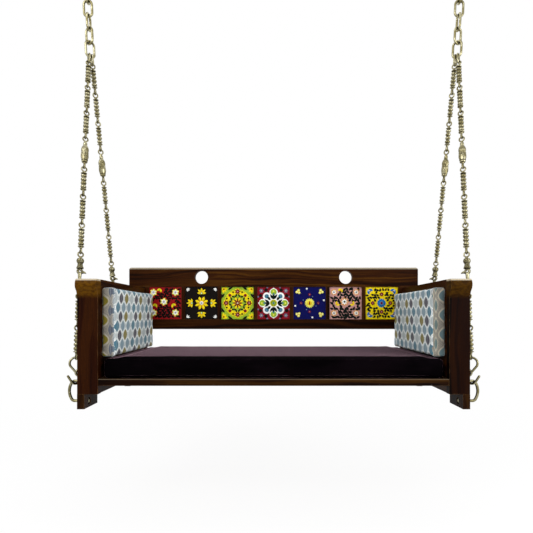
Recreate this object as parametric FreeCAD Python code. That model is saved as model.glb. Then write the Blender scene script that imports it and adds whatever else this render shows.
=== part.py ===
import FreeCAD, Part
import math
import os

# Indoor swing: a low wooden seat with a tiled backrest, hung from the ceiling on two brass chains.
# The origin is the middle of the ceiling bolt pattern, in the ceiling's plane.
# X runs to the right, Y to the back and Z up. The hanging plane is Y = 0. Sizes are in millimetres.

# Place of the seat under the ceiling
hang_drop = 1263.0
balance_share = 0.55148
gather_outset = 89.0
eye_outset = 14.0

# Ceiling plates and eyes
plate_side = 100.0
plate_thick = 6.0
plate_corner = 8.0
plate_hole_spacing = 70.0
plate_hole_bore = 9.0
eye_wire = 9.5
eye_bore = 26.0
eye_neck = 7.0
eye_collar_width = 22.0

# Chain of plain oval links
link_wire = 9.5
link_inner_length = 56.3
link_inner_width = 23.5
link_play = 0.5
ring_play = 1.2
chain_link_count = 3
quarter_turn = 90.0
third_link_turn = 25.0
gather_link_turn = 40.0

# Small rings that join the two bead legs to the last link
ring_wire = 7.0
ring_inner_length = 34.0
ring_inner_width = 15.0
ring_offset = 5.0

# Bead legs
leg_eye_wire = 5.5
leg_eye_bore = 13.0
leg_neck = 4.5
leg_neck_width = 8.0
bead_width = 20.0
bead_groove_width = 14.5
bead_count = 4
collar_width = 22.0
collar_thick = 5.0
bud_width = 27.0
bud_waist_width = 21.0
bud_extra = 14.0
bell_width = 25.0
bell_waist_width = 16.0
bell_length = 46.0
bird_extra = 44.0
bird_head_width = 27.0
bird_beak_reach = 23.0
bird_thick = 13.0
bird_eye_bore = 9.0
upper_rod_count = 3
middle_rod_count = 3
lower_rod_count = 2

# Hooks and handles
hook_wire = 8.0
hook_loop_bore = 32.0
hook_loop_turn = 25.0
hook_bore = 24.0
hook_reach = 71.0
hook_tip = 22.0
hook_tip_turn = 35.0
hook_turn = 40.0
handle_wire = 10.0
handle_leg_spacing = 68.0
handle_reach = 44.0
handle_corner = 12.0
handle_bow = 54.0
handle_thread = 5.0
handle_above_foot = 21.0
front_handle_setback = 40.0
rear_handle_setback = 90.0
hook_inset = 20.0
nut_across_flats = 16.0
nut_sides = 6
nut_thick = 6.5
washer_width = 20.0
washer_thick = 1.5
counterbore = 24.0
counterbore_depth = 11.0
bore_play = 0.3

# Seat frame
frame_depth = 575.0
arm_thick = 22.0
arm_overhang = 12.0
arm_round = 8.0
post_width = 70.0
post_thick = 25.0
nose_height = 39.0
nose_reach = 18.0
cove_height = 24.0
cove_middle_share = 0.55
foot_height = 50.0
foot_depth = 110.0
foot_thick = 24.0
foot_tongue = 75.0
seat_below_arm = 336.5
seat_board_thick = 12.0
panel_setback = 2.0
side_rail_height = 39.5
seat_rail_height = 23.0
seat_rail_depth = 45.0
batten_height = 22.0
batten_width = 45.0
batten_count = 3
panel_thick = 12.0
wood_edge = 1.5

# Backrest
backrest_thick = 25.0
backrest_above_arm = 94.0
backrest_corner = 11.0
top_plank_height = 88.0
bottom_rail_height = 45.0
hole_bore = 60.0
hole_offset = 330.0
tile_count = 7
tile_side = 152.0
tile_thick = 8.0
tile_pitch = 165.0
tile_lip = 2.0
end_stile_width = 91.0
tile_lip_depth = 6.0
tile_play = 0.5
backing_thick = 6.0
rear_post_below_top = 30.0
screw_width = 5.0
screw_head_width = 10.0
screw_length = 42.0
screw_head_height = 2.5
screw_inset = 18.0

# Cushion and arm pads
cushion_side_play = 5.0
cushion_rear_play = 7.0
cushion_height = 67.0
cushion_crown = 7.0
cushion_drawn_in = 5.0
cushion_bulge = 7.0
cushion_end_crown = 1.0
cushion_play = 0.5
pad_thick = 44.0
pad_crown = 5.0
pad_drawn_in = 5.0
pad_front_play = 3.0
pad_rear_play = 10.0
soft_play = 0.3

overrun = 5.0

# Levels and planes worked out from the sizes above
arm_top = -hang_drop
arm_under = arm_top - arm_thick
seat_top = arm_top - seat_below_arm
rail_top = seat_top - seat_board_thick
post_foot = rail_top - side_rail_height
floor_level = post_foot - foot_height
front_face = -frame_depth * balance_share
post_back = front_face + post_thick
rear_face = front_face + frame_depth
rear_post_front = rear_face - post_thick
backrest_front = rear_post_front - backrest_thick
tile_row_half = (tile_count - 1) * tile_pitch / 2
tile_opening_half = tile_row_half + tile_side / 2 - tile_lip
frame_half = tile_opening_half + end_stile_width
gather_half_spacing = frame_half + gather_outset
eye_half_spacing = gather_half_spacing + eye_outset
post_inner = frame_half - post_width
foot_inner = frame_half - foot_thick
side_rail_inner = post_inner + panel_setback
backrest_top = arm_top + backrest_above_arm
tile_band_top = backrest_top - top_plank_height
tile_band_bottom = tile_band_top - tile_side + 2 * tile_lip
backrest_bottom = tile_band_bottom - bottom_rail_height
tile_face = backrest_front + tile_lip_depth
tile_back = tile_face + tile_thick
cushion_half = post_inner - cushion_side_play
cushion_depth = frame_depth - post_thick - cushion_rear_play
cushion_top = seat_top + cushion_height

LEFT = -1
RIGHT = 1
DOWN = FreeCAD.Vector(0, 0, -1)
ACROSS = FreeCAD.Vector(1, 0, 0)
BACK = FreeCAD.Vector(0, 1, 0)


def vec(x, y, z):
    return FreeCAD.Vector(x, y, z)


def block(x_pair, y_pair, z_pair):
    corner = vec(min(x_pair), min(y_pair), min(z_pair))
    sizes = [max(pair) - min(pair) for pair in (x_pair, y_pair, z_pair)]
    return Part.makeBox(sizes[0], sizes[1], sizes[2], corner)


def on_side(side, near, far):
    """Both X planes of a piece, given from the middle outwards, on the left or right."""
    return (side * near, side * far)


def eased(shape, size=wood_edge):
    """Breaks every straight edge of a board."""
    return shape.makeChamfer(size, shape.Edges)


def bar(start, end, width):
    direction = end - start
    return Part.makeCylinder(width / 2, direction.Length, start, direction)


def placed(shape, origin, down, across):
    """Moves a piece made about the origin, hanging along -Z, to hang along another line."""
    z_axis = down * -1
    z_axis.normalize()
    y_axis = across - z_axis * across.dot(z_axis)
    y_axis.normalize()
    x_axis = y_axis.cross(z_axis)
    matrix = FreeCAD.Matrix(
        x_axis.x, y_axis.x, z_axis.x, origin.x,
        x_axis.y, y_axis.y, z_axis.y, origin.y,
        x_axis.z, y_axis.z, z_axis.z, origin.z,
        0, 0, 0, 1)
    moved = shape.copy()
    moved.Placement = FreeCAD.Placement(matrix)
    return moved


def turned(point, degrees):
    return FreeCAD.Rotation(vec(0, 0, 1), degrees).multVec(point)


def eye(wire, bore, centre, normal):
    return Part.makeTorus((bore + wire) / 2, wire / 2, centre, normal)


def oval_link(wire, inner_length, inner_width):
    """An oval link about the origin, long along Z and lying in the XZ plane."""
    bend = (inner_width + wire) / 2
    straight = (inner_length - inner_width) / 2
    loop = None
    for end in (-1, 1):
        middle = vec(0, 0, end * straight)
        whole = Part.makeTorus(bend, wire / 2, middle, BACK)
        reach = bend + wire
        half = block((-reach, reach), (-wire, wire), (end * straight, end * (straight + reach)))
        curve = whole.common(half)
        loop = curve if loop is None else loop.fuse(curve)
    for end in (-1, 1):
        leg = bar(vec(end * bend, 0, -straight), vec(end * bend, 0, straight), wire)
        loop = loop.fuse(leg)
    return loop.removeSplitter()


def turned_profile(points):
    """Revolves a half outline about Z. Each entry is (radius, z), or (radius, z, via radius)
    for a stretch that bows out through the via radius half way along it."""
    edges = []
    last = vec(0, 0, points[0][1])
    for entry in points:
        here = vec(entry[0], 0, entry[1])
        if len(entry) == 3:
            via = vec(entry[2], 0, (last.z + here.z) / 2)
            edges.append(Part.Arc(last, via, here).toShape())
        elif (here - last).Length > 0:
            edges.append(Part.LineSegment(last, here).toShape())
        last = here
    foot = vec(0, 0, last.z)
    if last.x > 0:
        edges.append(Part.LineSegment(last, foot).toShape())
    edges.append(Part.LineSegment(foot, vec(0, 0, points[0][1])).toShape())
    face = Part.Face(Part.Wire(edges))
    return face.revolve(vec(0, 0, 0), vec(0, 0, 1), 360)


# Hanging line: eyes, links, gather rings and bead legs
eye_radius = (eye_bore + eye_wire) / 2
eye_centre_level = -(plate_thick + eye_neck + eye_radius + eye_wire / 2)
link_pitch = link_inner_length - link_play
link_total = (chain_link_count + 2) * link_pitch
leg_eye_radius = (leg_eye_bore + leg_eye_wire) / 2
eye_step = 2 * leg_eye_radius - leg_eye_wire - link_play


def eye_pivot(side):
    """Middle of the ceiling eye's lowest wire, which the first link swings on."""
    return vec(side * eye_half_spacing, 0, eye_centre_level - eye_radius)


def chain_line(side):
    """Unit vector down the plain links, which lean in a little."""
    inward = (eye_half_spacing - gather_half_spacing) / link_total
    return vec(-side * inward, 0, -math.sqrt(1 - inward * inward))


def link_pivot(side, count):
    """Middle of the lowest wire of the link that is count below the ceiling eye."""
    return eye_pivot(side) + chain_line(side) * (count * link_pitch)


def link_turn(side, number):
    turns = [quarter_turn, 0, quarter_turn, third_link_turn, -gather_link_turn]
    return side * turns[number]


def chain_link(side, number):
    """One link, numbered from the ceiling. Neighbours are turned across each other."""
    centre = link_pivot(side, number + 1) - chain_line(side) * ((link_inner_length + link_wire) / 2)
    normal = turned(BACK, link_turn(side, number))
    return placed(oval_link(link_wire, link_inner_length, link_inner_width), centre, chain_line(side), normal)


def gather_wire_line(side):
    """Direction of the last link's lowest wire, pointing inwards and to the back."""
    return turned(ACROSS, link_turn(side, chain_link_count + 1)) * -side


def ring_seat(side, front):
    """Middle of a ring's top wire, where it sits in the bend of the last link."""
    bend = (link_inner_width + link_wire) / 2
    seat = bend - (link_wire + ring_wire) / 2 - ring_play
    drop = math.sqrt(seat * seat - ring_offset * ring_offset)
    end = -1 if front else 1
    across = gather_wire_line(side) * (end * ring_offset)
    return link_pivot(side, chain_link_count + 2) + chain_line(side) * (drop - bend) + across


def handle_leg_middle(side, front):
    """Point on a handle's upper leg that the hook pulls on."""
    y = front_face + front_handle_setback if front else rear_face - rear_handle_setback
    x = frame_half + handle_reach - hook_inset
    return vec(side * x, y, floor_level + handle_above_foot + handle_leg_spacing)


def leg_line(side, front):
    line = handle_leg_middle(side, front) - ring_seat(side, front)
    line.normalize()
    return line


def leg_start(side, front):
    """Middle of the first eye of a bead leg, hanging in its gather ring."""
    to_eye = ring_inner_length - leg_eye_wire / 2 - link_play + ring_wire / 2 + leg_eye_radius
    return ring_seat(side, front) + leg_line(side, front) * to_eye


def hook_eye_centre(side, front):
    return handle_leg_middle(side, front) - leg_line(side, front) * hook_reach


def rod_pitch(side, front):
    """Distance from eye to eye of a bead rod: all of a leg's rods share what its length leaves."""
    rods = upper_rod_count + middle_rod_count + lower_rod_count
    span = (hook_eye_centre(side, front) - leg_start(side, front)).Length
    return (span - bud_extra - bird_extra) / (rods + 2) - eye_step


def leg_places(side, front):
    """Where each piece of a leg starts: lists of eye centres for the rods, the bud and the bird."""
    rod_step = rod_pitch(side, front) + eye_step
    order = ["rod"] * upper_rod_count + ["bud"] + ["rod"] * middle_rod_count
    order += ["bird"] + ["rod"] * lower_rod_count
    extras = {"rod": 0.0, "bud": bud_extra, "bird": bird_extra}
    places = {"rod": [], "bud": [], "bird": []}
    travelled = 0.0
    for kind in order:
        places[kind].append(leg_start(side, front) + leg_line(side, front) * travelled)
        travelled += rod_step + extras[kind]
    return places


def eyed_body(span, body):
    """A turned body between two eyes whose centres lie span apart; the second eye is turned across."""
    upper = eye(leg_eye_wire, leg_eye_bore, vec(0, 0, 0), ACROSS)
    lower = eye(leg_eye_wire, leg_eye_bore, vec(0, 0, -span), BACK)
    neck_top = vec(0, 0, -leg_eye_radius)
    neck = bar(neck_top, vec(0, 0, leg_eye_radius - span), leg_neck_width)
    return body.fuse([neck, upper, lower])


def body_ends(span):
    """Top and bottom of the turned body between the eyes."""
    end = leg_eye_radius + leg_eye_wire / 2 + leg_neck
    return -end, end - span


def bead_rod(span):
    top, bottom = body_ends(span)
    bead_length = (top - bottom - 2 * collar_thick) / bead_count
    points = [(collar_width / 2, top), (collar_width / 2, top - collar_thick)]
    level = top - collar_thick
    for _ in range(bead_count):
        points.append((bead_groove_width / 2, level))
        level -= bead_length
        points.append((bead_groove_width / 2, level, bead_width / 2))
    points.append((collar_width / 2, level))
    points.append((collar_width / 2, bottom))
    return eyed_body(span, turned_profile(points))


def bud(span):
    """A barrel with a waist band, on a collar."""
    top, bottom = body_ends(span)
    length = top - bottom
    neck_share = 0.16
    waist_share = 0.52
    rim_share = 0.90
    neck_level = top - neck_share * length
    waist_level = top - waist_share * length
    rim_level = top - rim_share * length
    points = [
        (leg_neck_width, top),
        (leg_neck_width, neck_level, bead_width / 2),
        (bud_waist_width / 2, waist_level, bud_width / 2),
        (bud_waist_width / 2, rim_level, bud_width / 2),
        (collar_width / 2, rim_level),
        (leg_neck_width, bottom, collar_width / 2),
    ]
    return eyed_body(span, turned_profile(points))


def bird_link(span):
    """A waisted bell with a flared rim, ending in a bird's head that looks to +Y."""
    top = body_ends(span)[0]
    rim = collar_thick / 2
    waist_level = top - bell_length / 2
    flare_level = top - bell_length + rim
    bell = turned_profile([
        (collar_width / 2, top),
        (bell_waist_width / 2, waist_level, bell_width / 2),
        (bell_width / 2, flare_level, bell_waist_width / 2),
        (bell_width / 2, flare_level - rim),
        (leg_neck_width / 2, flare_level - 2 * rim),
    ])
    head_radius = bird_head_width / 2
    head_level = flare_level - 2 * rim - head_radius + leg_neck
    crown = vec(0, 0, head_level + head_radius)
    nape = vec(-head_radius, 0, head_level)
    throat = vec(0, 0, head_level - head_radius)
    beak_tip = vec(bird_beak_reach, 0, head_level - head_radius / 2)
    head_outline = Part.Wire([
        Part.Arc(crown, nape, throat).toShape(),
        Part.LineSegment(throat, beak_tip).toShape(),
        Part.LineSegment(beak_tip, crown).toShape(),
    ])
    head = Part.Face(head_outline).extrude(vec(0, bird_thick, 0))
    head.translate(vec(0, -bird_thick / 2, 0))
    hole_centre = vec(-head_radius / 4, -bird_thick, head_level)
    head = head.cut(Part.makeCylinder(bird_eye_bore / 2, 2 * bird_thick, hole_centre, BACK))
    head.rotate(vec(0, 0, 0), vec(0, 0, 1), quarter_turn)
    tail = bar(throat + vec(0, 0, leg_neck), vec(0, 0, leg_eye_radius - span), leg_neck_width)
    upper = eye(leg_eye_wire, leg_eye_bore, vec(0, 0, 0), ACROSS)
    lower = eye(leg_eye_wire, leg_eye_bore, vec(0, 0, -span), BACK)
    neck = bar(vec(0, 0, -leg_eye_radius), vec(0, 0, top), leg_neck_width)
    link = bell
    for piece in (head, tail, neck, upper, lower):
        link = link.fuse(piece)
    return link


def leg_rods(side, front):
    rod = bead_rod(rod_pitch(side, front))
    line = leg_line(side, front)
    across = gather_wire_line(side)
    return [placed(rod, place, line, across) for place in leg_places(side, front)["rod"]]


def leg_bud(side, front):
    piece = bud(rod_pitch(side, front) + bud_extra)
    place = leg_places(side, front)["bud"][0]
    return placed(piece, place, leg_line(side, front), gather_wire_line(side))


def leg_bird(side, front):
    """The bird looks inwards along the last link's wire line."""
    piece = bird_link(rod_pitch(side, front) + bird_extra)
    place = leg_places(side, front)["bird"][0]
    return placed(piece, place, leg_line(side, front), gather_wire_line(side))


def gather_ring(side, front):
    centre = ring_seat(side, front) + leg_line(side, front) * ((ring_inner_length + ring_wire) / 2)
    ring = oval_link(ring_wire, ring_inner_length, ring_inner_width)
    return placed(ring, centre, leg_line(side, front), gather_wire_line(side))


def shift_arcs(start, end):
    """Two like arcs that carry a rod from one vertical line to another, without a corner."""
    across = end.x - start.x
    drop = start.z - end.z
    angle = 2 * math.atan2(abs(across), drop)
    radius = drop / (2 * math.sin(angle))
    sign = math.copysign(1, across)
    half_sine = radius * math.sin(angle / 2)
    half_lag = radius * (1 - math.cos(angle / 2)) * sign
    middle = (start + end) / 2
    first = Part.Arc(start, start + vec(half_lag, 0, -half_sine), middle).toShape()
    second = Part.Arc(middle, end + vec(-half_lag, 0, half_sine), end).toShape()
    return [first, second]


def hook_loop(top, apex):
    """A pear-shaped loop in the XZ plane, given its highest and lowest wire level."""
    bend = (hook_loop_bore + hook_wire) / 2
    centre = top - bend
    angle = math.acos(bend / (centre - apex))
    ends = [vec(side * bend * math.sin(angle), 0, centre - bend * math.cos(angle)) for side in (LEFT, RIGHT)]
    foot = vec(0, 0, apex)
    path = Part.Wire([
        Part.LineSegment(foot, ends[0]).toShape(),
        Part.Arc(ends[0], vec(0, 0, top), ends[1]).toShape(),
    ])
    profile = Part.Wire(Part.makeCircle(hook_wire / 2, foot, ends[0] - foot))
    loop = path.makePipeShell([profile], True, False)
    return loop.fuse([bar(ends[1], foot, hook_wire), Part.makeSphere(hook_wire / 2, foot)])


def hook(side, front):
    """A closed pear-shaped loop hangs in the last rod's lower eye, and an open bend below it goes
    round the handle's upper leg. The tip points away from the seat's middle and leans outwards."""
    bend = (hook_bore + hook_wire) / 2
    bend_drop = (handle_wire + hook_wire) / 2 + link_play
    bend_centre = bend - eye_step - hook_reach - bend_drop
    loop_top = (leg_eye_wire + hook_wire) / 2 + link_play - leg_eye_radius
    neck_end = vec(0, 0, bend_centre + 3 * bend / 2)
    entry = vec(-bend, 0, bend_centre)
    bottom = vec(0, 0, bend_centre - bend)
    lean = math.radians(hook_tip_turn)
    leaving = vec(bend * math.cos(lean), 0, bend_centre - bend * math.sin(lean))
    tip = leaving + vec(hook_tip * math.sin(lean), 0, hook_tip * math.cos(lean))
    path = Part.Wire(
        shift_arcs(neck_end, entry)
        + [Part.Arc(entry, bottom, leaving).toShape(), Part.LineSegment(leaving, tip).toShape()])
    profile = Part.Wire(Part.makeCircle(hook_wire / 2, neck_end, DOWN))
    shank = path.makePipeShell([profile], True, False).fuse(Part.makeSphere(hook_wire / 2, tip))
    line = leg_line(side, front)
    origin = hook_eye_centre(side, front) - line * eye_step
    end = -1 if front else 1
    angle = math.radians(hook_turn)
    facing = vec(-end * math.cos(angle), side * math.sin(angle), 0)
    loop = placed(hook_loop(loop_top, neck_end.z), origin, line, turned(BACK, -side * hook_loop_turn))
    return placed(shank, origin, line, facing).fuse(loop)


def handle(side, front):
    """A bent rod whose two threaded legs pass through the foot board. Its outer bar bows outwards."""
    centre = handle_leg_middle(side, front)
    inner = foot_inner + counterbore_depth - washer_thick - nut_thick - handle_thread / 2
    outer = frame_half + handle_reach
    half = handle_leg_spacing / 2
    rise = half - handle_corner
    run = math.sqrt((handle_bow - handle_corner) ** 2 - rise ** 2)
    x_turn = outer - handle_bow + run
    join = vec(run, 0, rise).normalize()
    leaving = (vec(0, 0, 1) + join).normalize()

    def on_path(x, z):
        return vec(side * x, centre.y, centre.z - half + z)

    def corner(end):
        turn = on_path(x_turn, end * half)
        via = on_path(x_turn + handle_corner * leaving.x, end * (rise + handle_corner * leaving.z))
        bow = on_path(x_turn + handle_corner * join.x, end * (rise + handle_corner * join.z))
        return turn, via, bow

    upper = corner(1)
    lower = corner(-1)
    path = Part.Wire([
        Part.LineSegment(on_path(inner, half), upper[0]).toShape(),
        Part.Arc(upper[0], upper[1], upper[2]).toShape(),
        Part.Arc(upper[2], on_path(outer, 0), lower[2]).toShape(),
        Part.Arc(lower[2], lower[1], lower[0]).toShape(),
        Part.LineSegment(lower[0], on_path(inner, -half)).toShape(),
    ])
    profile = Part.Wire(Part.makeCircle(handle_wire / 2, on_path(inner, half), ACROSS))
    return path.makePipeShell([profile], True, False)


def handle_levels(side, front):
    centre = handle_leg_middle(side, front)
    return centre.y, (centre.z, centre.z - handle_leg_spacing)


def washers_and_nuts(side, front):
    """A washer and a hexagon nut on each handle leg, sunk in the foot board's inner face."""
    y, levels = handle_levels(side, front)
    seat = foot_inner + counterbore_depth
    washers = []
    nuts = []
    inwards = vec(-side, 0, 0)
    bore = handle_wire + bore_play
    for z in levels:
        hole = Part.makeCylinder(bore / 2, seat, vec(side * seat, y, z), inwards)
        washer = Part.makeCylinder(washer_width / 2, washer_thick, vec(side * seat, y, z), inwards)
        washers.append(washer.cut(hole))
        nut_face = side * (seat - washer_thick)
        corners = []
        for step in range(nut_sides + 1):
            angle = 2 * math.pi * step / nut_sides
            radius = nut_across_flats / 2 / math.cos(math.pi / nut_sides)
            corners.append(vec(nut_face, y + radius * math.cos(angle), z + radius * math.sin(angle)))
        nut = Part.Face(Part.makePolygon(corners)).extrude(inwards * nut_thick)
        nuts.append(nut.cut(hole))
    return washers, nuts


def handle_bores(side, front):
    """Holes for a handle's legs, with the counterbores for its nuts."""
    y, levels = handle_levels(side, front)
    outwards = vec(side, 0, 0)
    cuts = []
    for z in levels:
        start = vec(side * (foot_inner - overrun), y, z)
        cuts.append(Part.makeCylinder((handle_wire + bore_play) / 2, foot_thick + 2 * overrun, start, outwards))
        cuts.append(Part.makeCylinder(counterbore / 2, counterbore_depth + overrun, start, outwards))
    return cuts


# Ceiling fittings
def ceiling_plate(side):
    half = plate_side / 2
    middle = side * eye_half_spacing
    plate = block((middle - half, middle + half), (-half, half), (-plate_thick, 0))
    upright = [edge for edge in plate.Edges if abs(edge.tangentAt(edge.FirstParameter).z) > 0]
    plate = plate.makeFillet(plate_corner, upright)
    for x_end in (-1, 1):
        for y_end in (-1, 1):
            x = middle + x_end * plate_hole_spacing / 2
            y = y_end * plate_hole_spacing / 2
            start = vec(x, y, overrun)
            plate = plate.cut(Part.makeCylinder(plate_hole_bore / 2, plate_thick + 2 * overrun, start, DOWN))
    return plate


def ceiling_eye(side):
    middle = side * eye_half_spacing
    collar = Part.makeCylinder(eye_collar_width / 2, eye_neck / 2, vec(middle, 0, -plate_thick), DOWN)
    neck_end = vec(middle, 0, eye_centre_level + eye_radius)
    neck = bar(vec(middle, 0, -plate_thick - eye_neck / 4), neck_end, eye_wire)
    ring = eye(eye_wire, eye_bore, vec(middle, 0, eye_centre_level), BACK)
    return collar.fuse([neck, ring])


# Seat frame
def post_outline():
    """Side view of a front post: a rounded nose over a cove, then a plain face."""
    nose_foot = arm_top - nose_height
    cove_foot = nose_foot - cove_height
    nose_front = front_face - nose_reach
    nose_root = front_face - nose_reach / 2
    cove_mid = vec(0, front_face - nose_reach / 8, nose_foot - cove_height * cove_middle_share)
    return Part.Wire([
        Part.LineSegment(vec(0, post_back, post_foot), vec(0, post_back, arm_top)).toShape(),
        Part.LineSegment(vec(0, post_back, arm_top), vec(0, nose_root, arm_top)).toShape(),
        Part.Arc(
            vec(0, nose_root, arm_top),
            vec(0, nose_front, (arm_top + nose_foot) / 2),
            vec(0, nose_root, nose_foot)).toShape(),
        Part.Arc(vec(0, nose_root, nose_foot), cove_mid, vec(0, front_face, cove_foot)).toShape(),
        Part.LineSegment(vec(0, front_face, cove_foot), vec(0, front_face, post_foot)).toShape(),
        Part.LineSegment(vec(0, front_face, post_foot), vec(0, post_back, post_foot)).toShape(),
    ])


def front_post(side):
    outline = post_outline()
    outline.translate(vec(side * post_inner, 0, 0))
    return eased(Part.Face(outline).extrude(vec(side * post_width, 0, 0)), wood_edge / 2)


def rear_post(side):
    top = backrest_top - rear_post_below_top
    post = block(on_side(side, post_inner, frame_half), (rear_post_front, rear_face), (post_foot, top))
    return eased(post).cut(screw_holes())


def foot_board(side, front):
    """A foot below the post, with a tongue that runs up behind it."""
    outer = front_face if front else rear_face
    inwards = 1 if front else -1
    shoulder = outer + inwards * post_thick
    far = outer + inwards * foot_depth
    corners = [
        vec(0, outer, floor_level),
        vec(0, outer, post_foot),
        vec(0, shoulder, post_foot),
        vec(0, shoulder, post_foot + foot_tongue),
        vec(0, far, post_foot + foot_tongue),
        vec(0, far, floor_level),
        vec(0, outer, floor_level),
    ]
    outline = Part.makePolygon(corners)
    outline.translate(vec(side * foot_inner, 0, 0))
    board = Part.Face(outline).extrude(vec(side * foot_thick, 0, 0))
    return board.cut(handle_bores(side, front))


def arm_rail(side):
    rail = block(
        on_side(side, post_inner, frame_half + arm_overhang),
        (post_back, backrest_front),
        (arm_under, arm_top))
    edges = [edge for edge in rail.Edges if abs(edge.CenterOfMass.x) > frame_half
             and abs(edge.tangentAt(edge.FirstParameter).y) > 0]
    return rail.makeFillet(arm_round, edges)


def side_rail(side):
    return eased(block(
        on_side(side, side_rail_inner, foot_inner),
        (post_back, rear_post_front),
        (post_foot, rail_top)))


def side_panel(side):
    return block(
        on_side(side, side_rail_inner, side_rail_inner + panel_thick),
        (post_back, backrest_front),
        (seat_top, arm_under))


def seat_rail(front):
    if front:
        y_pair = (front_face, front_face + seat_rail_depth)
    else:
        y_pair = (rear_post_front - seat_rail_depth, rear_post_front)
    half = post_inner if front else side_rail_inner
    return eased(block((-half, half), y_pair, (seat_top - seat_rail_height, seat_top)))


def seat_board():
    y_pair = (front_face + seat_rail_depth, rear_post_front - seat_rail_depth)
    return block((-foot_inner, foot_inner), y_pair, (rail_top, seat_top))


def seat_battens():
    first = front_face + seat_rail_depth + batten_width
    last = rear_post_front - seat_rail_depth - 2 * batten_width
    battens = []
    for number in range(batten_count):
        y = first + (last - first) * number / (batten_count - 1)
        battens.append(eased(block(
            (-side_rail_inner, side_rail_inner),
            (y, y + batten_width),
            (rail_top - batten_height, rail_top))))
    return battens


# Backrest
def rear_pocket():
    """Space behind the front lips that holds the tiles and their backing board."""
    half = tile_opening_half + tile_lip + tile_play
    return block(
        (-half, half),
        (tile_face, rear_post_front + overrun),
        (tile_band_bottom - tile_lip - tile_play, tile_band_top + tile_lip + tile_play))


def round_corners(board, top):
    """Rounds the two outer corners at the top or the bottom of the backrest."""
    edges = []
    for edge in board.Edges:
        middle = edge.CenterOfMass
        runs_back = abs(edge.tangentAt(edge.FirstParameter).y) > 0
        at_end = abs(abs(middle.x) - frame_half) < overrun
        upper = middle.z > (board.BoundBox.ZMin + board.BoundBox.ZMax) / 2
        if runs_back and at_end and upper == top:
            edges.append(edge)
    return board.makeFillet(backrest_corner, edges)


def top_plank():
    plank = block((-frame_half, frame_half), (backrest_front, rear_post_front), (tile_band_top, backrest_top))
    plank = round_corners(plank, True)
    level = (tile_band_top + backrest_top) / 2
    for side in (LEFT, RIGHT):
        start = vec(side * hole_offset, backrest_front - overrun, level)
        hole = Part.makeCylinder(hole_bore / 2, backrest_thick + 2 * overrun, start, BACK)
        plank = plank.cut(hole)
    return plank.cut([rear_pocket()] + screw_holes())


def bottom_rail():
    rail = block((-frame_half, frame_half), (backrest_front, rear_post_front), (backrest_bottom, tile_band_bottom))
    rail = round_corners(rail, False)
    return rail.cut([rear_pocket()] + screw_holes())


def end_stiles():
    stiles = []
    for side in (LEFT, RIGHT):
        stile = block(
            on_side(side, tile_opening_half, frame_half),
            (backrest_front, rear_post_front),
            (tile_band_bottom, tile_band_top))
        stiles.append(stile.cut(rear_pocket()))
    return stiles


def muntins():
    """T-shaped bars between the tiles: a front lip and a web behind it."""
    bars = []
    lip_half = (tile_pitch - tile_side) / 2 + tile_lip
    web_half = (tile_pitch - tile_side) / 2 - tile_play
    for number in range(tile_count - 1):
        x = -tile_row_half + (number + 1 / 2) * tile_pitch
        lip = block(
            (x - lip_half, x + lip_half),
            (backrest_front, tile_face),
            (tile_band_bottom, tile_band_top))
        web = block(
            (x - web_half, x + web_half),
            (tile_face, tile_back),
            (tile_band_bottom - tile_lip, tile_band_top + tile_lip))
        bars.append(lip.fuse(web).removeSplitter())
    return bars


def tile(number):
    x = -tile_row_half + number * tile_pitch
    middle = (tile_band_bottom + tile_band_top) / 2
    half = tile_side / 2
    return block((x - half, x + half), (tile_face, tile_back), (middle - half, middle + half))


def backing_board():
    half = tile_opening_half + tile_lip
    return block(
        (-half, half),
        (tile_back, tile_back + backing_thick),
        (tile_band_bottom - tile_lip, tile_band_top + tile_lip))


def screw_places():
    """Screws go in from behind, two through each rear post into each long board of the backrest."""
    places = []
    for side in (LEFT, RIGHT):
        for x in (post_inner + screw_inset, frame_half - screw_inset):
            places.append(vec(side * x, rear_face, (backrest_bottom + tile_band_bottom) / 2))
            places.append(vec(side * x, rear_face, tile_band_top + screw_inset))
    return places


def screw_shape(place, play):
    """A countersunk screw whose head is flush with the rear post."""
    radius = screw_width / 2 + play
    head = screw_head_width / 2 + play
    shank = Part.makeCylinder(radius, screw_length + play, place, vec(0, -1, 0))
    cone = Part.makeCone(head, radius, screw_head_height, place, vec(0, -1, 0))
    return shank.fuse(cone)


def screw_holes():
    return [screw_shape(place, bore_play / 3) for place in screw_places()]


def screws():
    return [screw_shape(place, 0) for place in screw_places()]


# Soft pieces
def bowed(start, end, bow):
    """An arc from start to end whose middle is pushed out by the vector bow."""
    return Part.Arc(start, (start + end) / 2 + bow, end).toShape()


def cushion_section(x, height, depth, crown):
    """One cross-section of the seat cushion: a flat base, bowed front and back, a crowned top."""
    base = seat_top + soft_play
    middle = front_face + cushion_bulge + cushion_depth / 2
    y_front = middle - depth / 2
    y_back = middle + depth / 2
    top = base + height
    low_front = vec(x, y_front, base)
    low_back = vec(x, y_back, base)
    high_front = vec(x, y_front, top)
    high_back = vec(x, y_back, top)
    return Part.Wire([
        Part.LineSegment(low_back, low_front).toShape(),
        bowed(low_front, high_front, vec(0, -cushion_bulge, 0)),
        bowed(high_front, high_back, vec(0, 0, crown)),
        bowed(high_back, low_back, vec(0, cushion_bulge, 0)),
    ])


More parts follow.
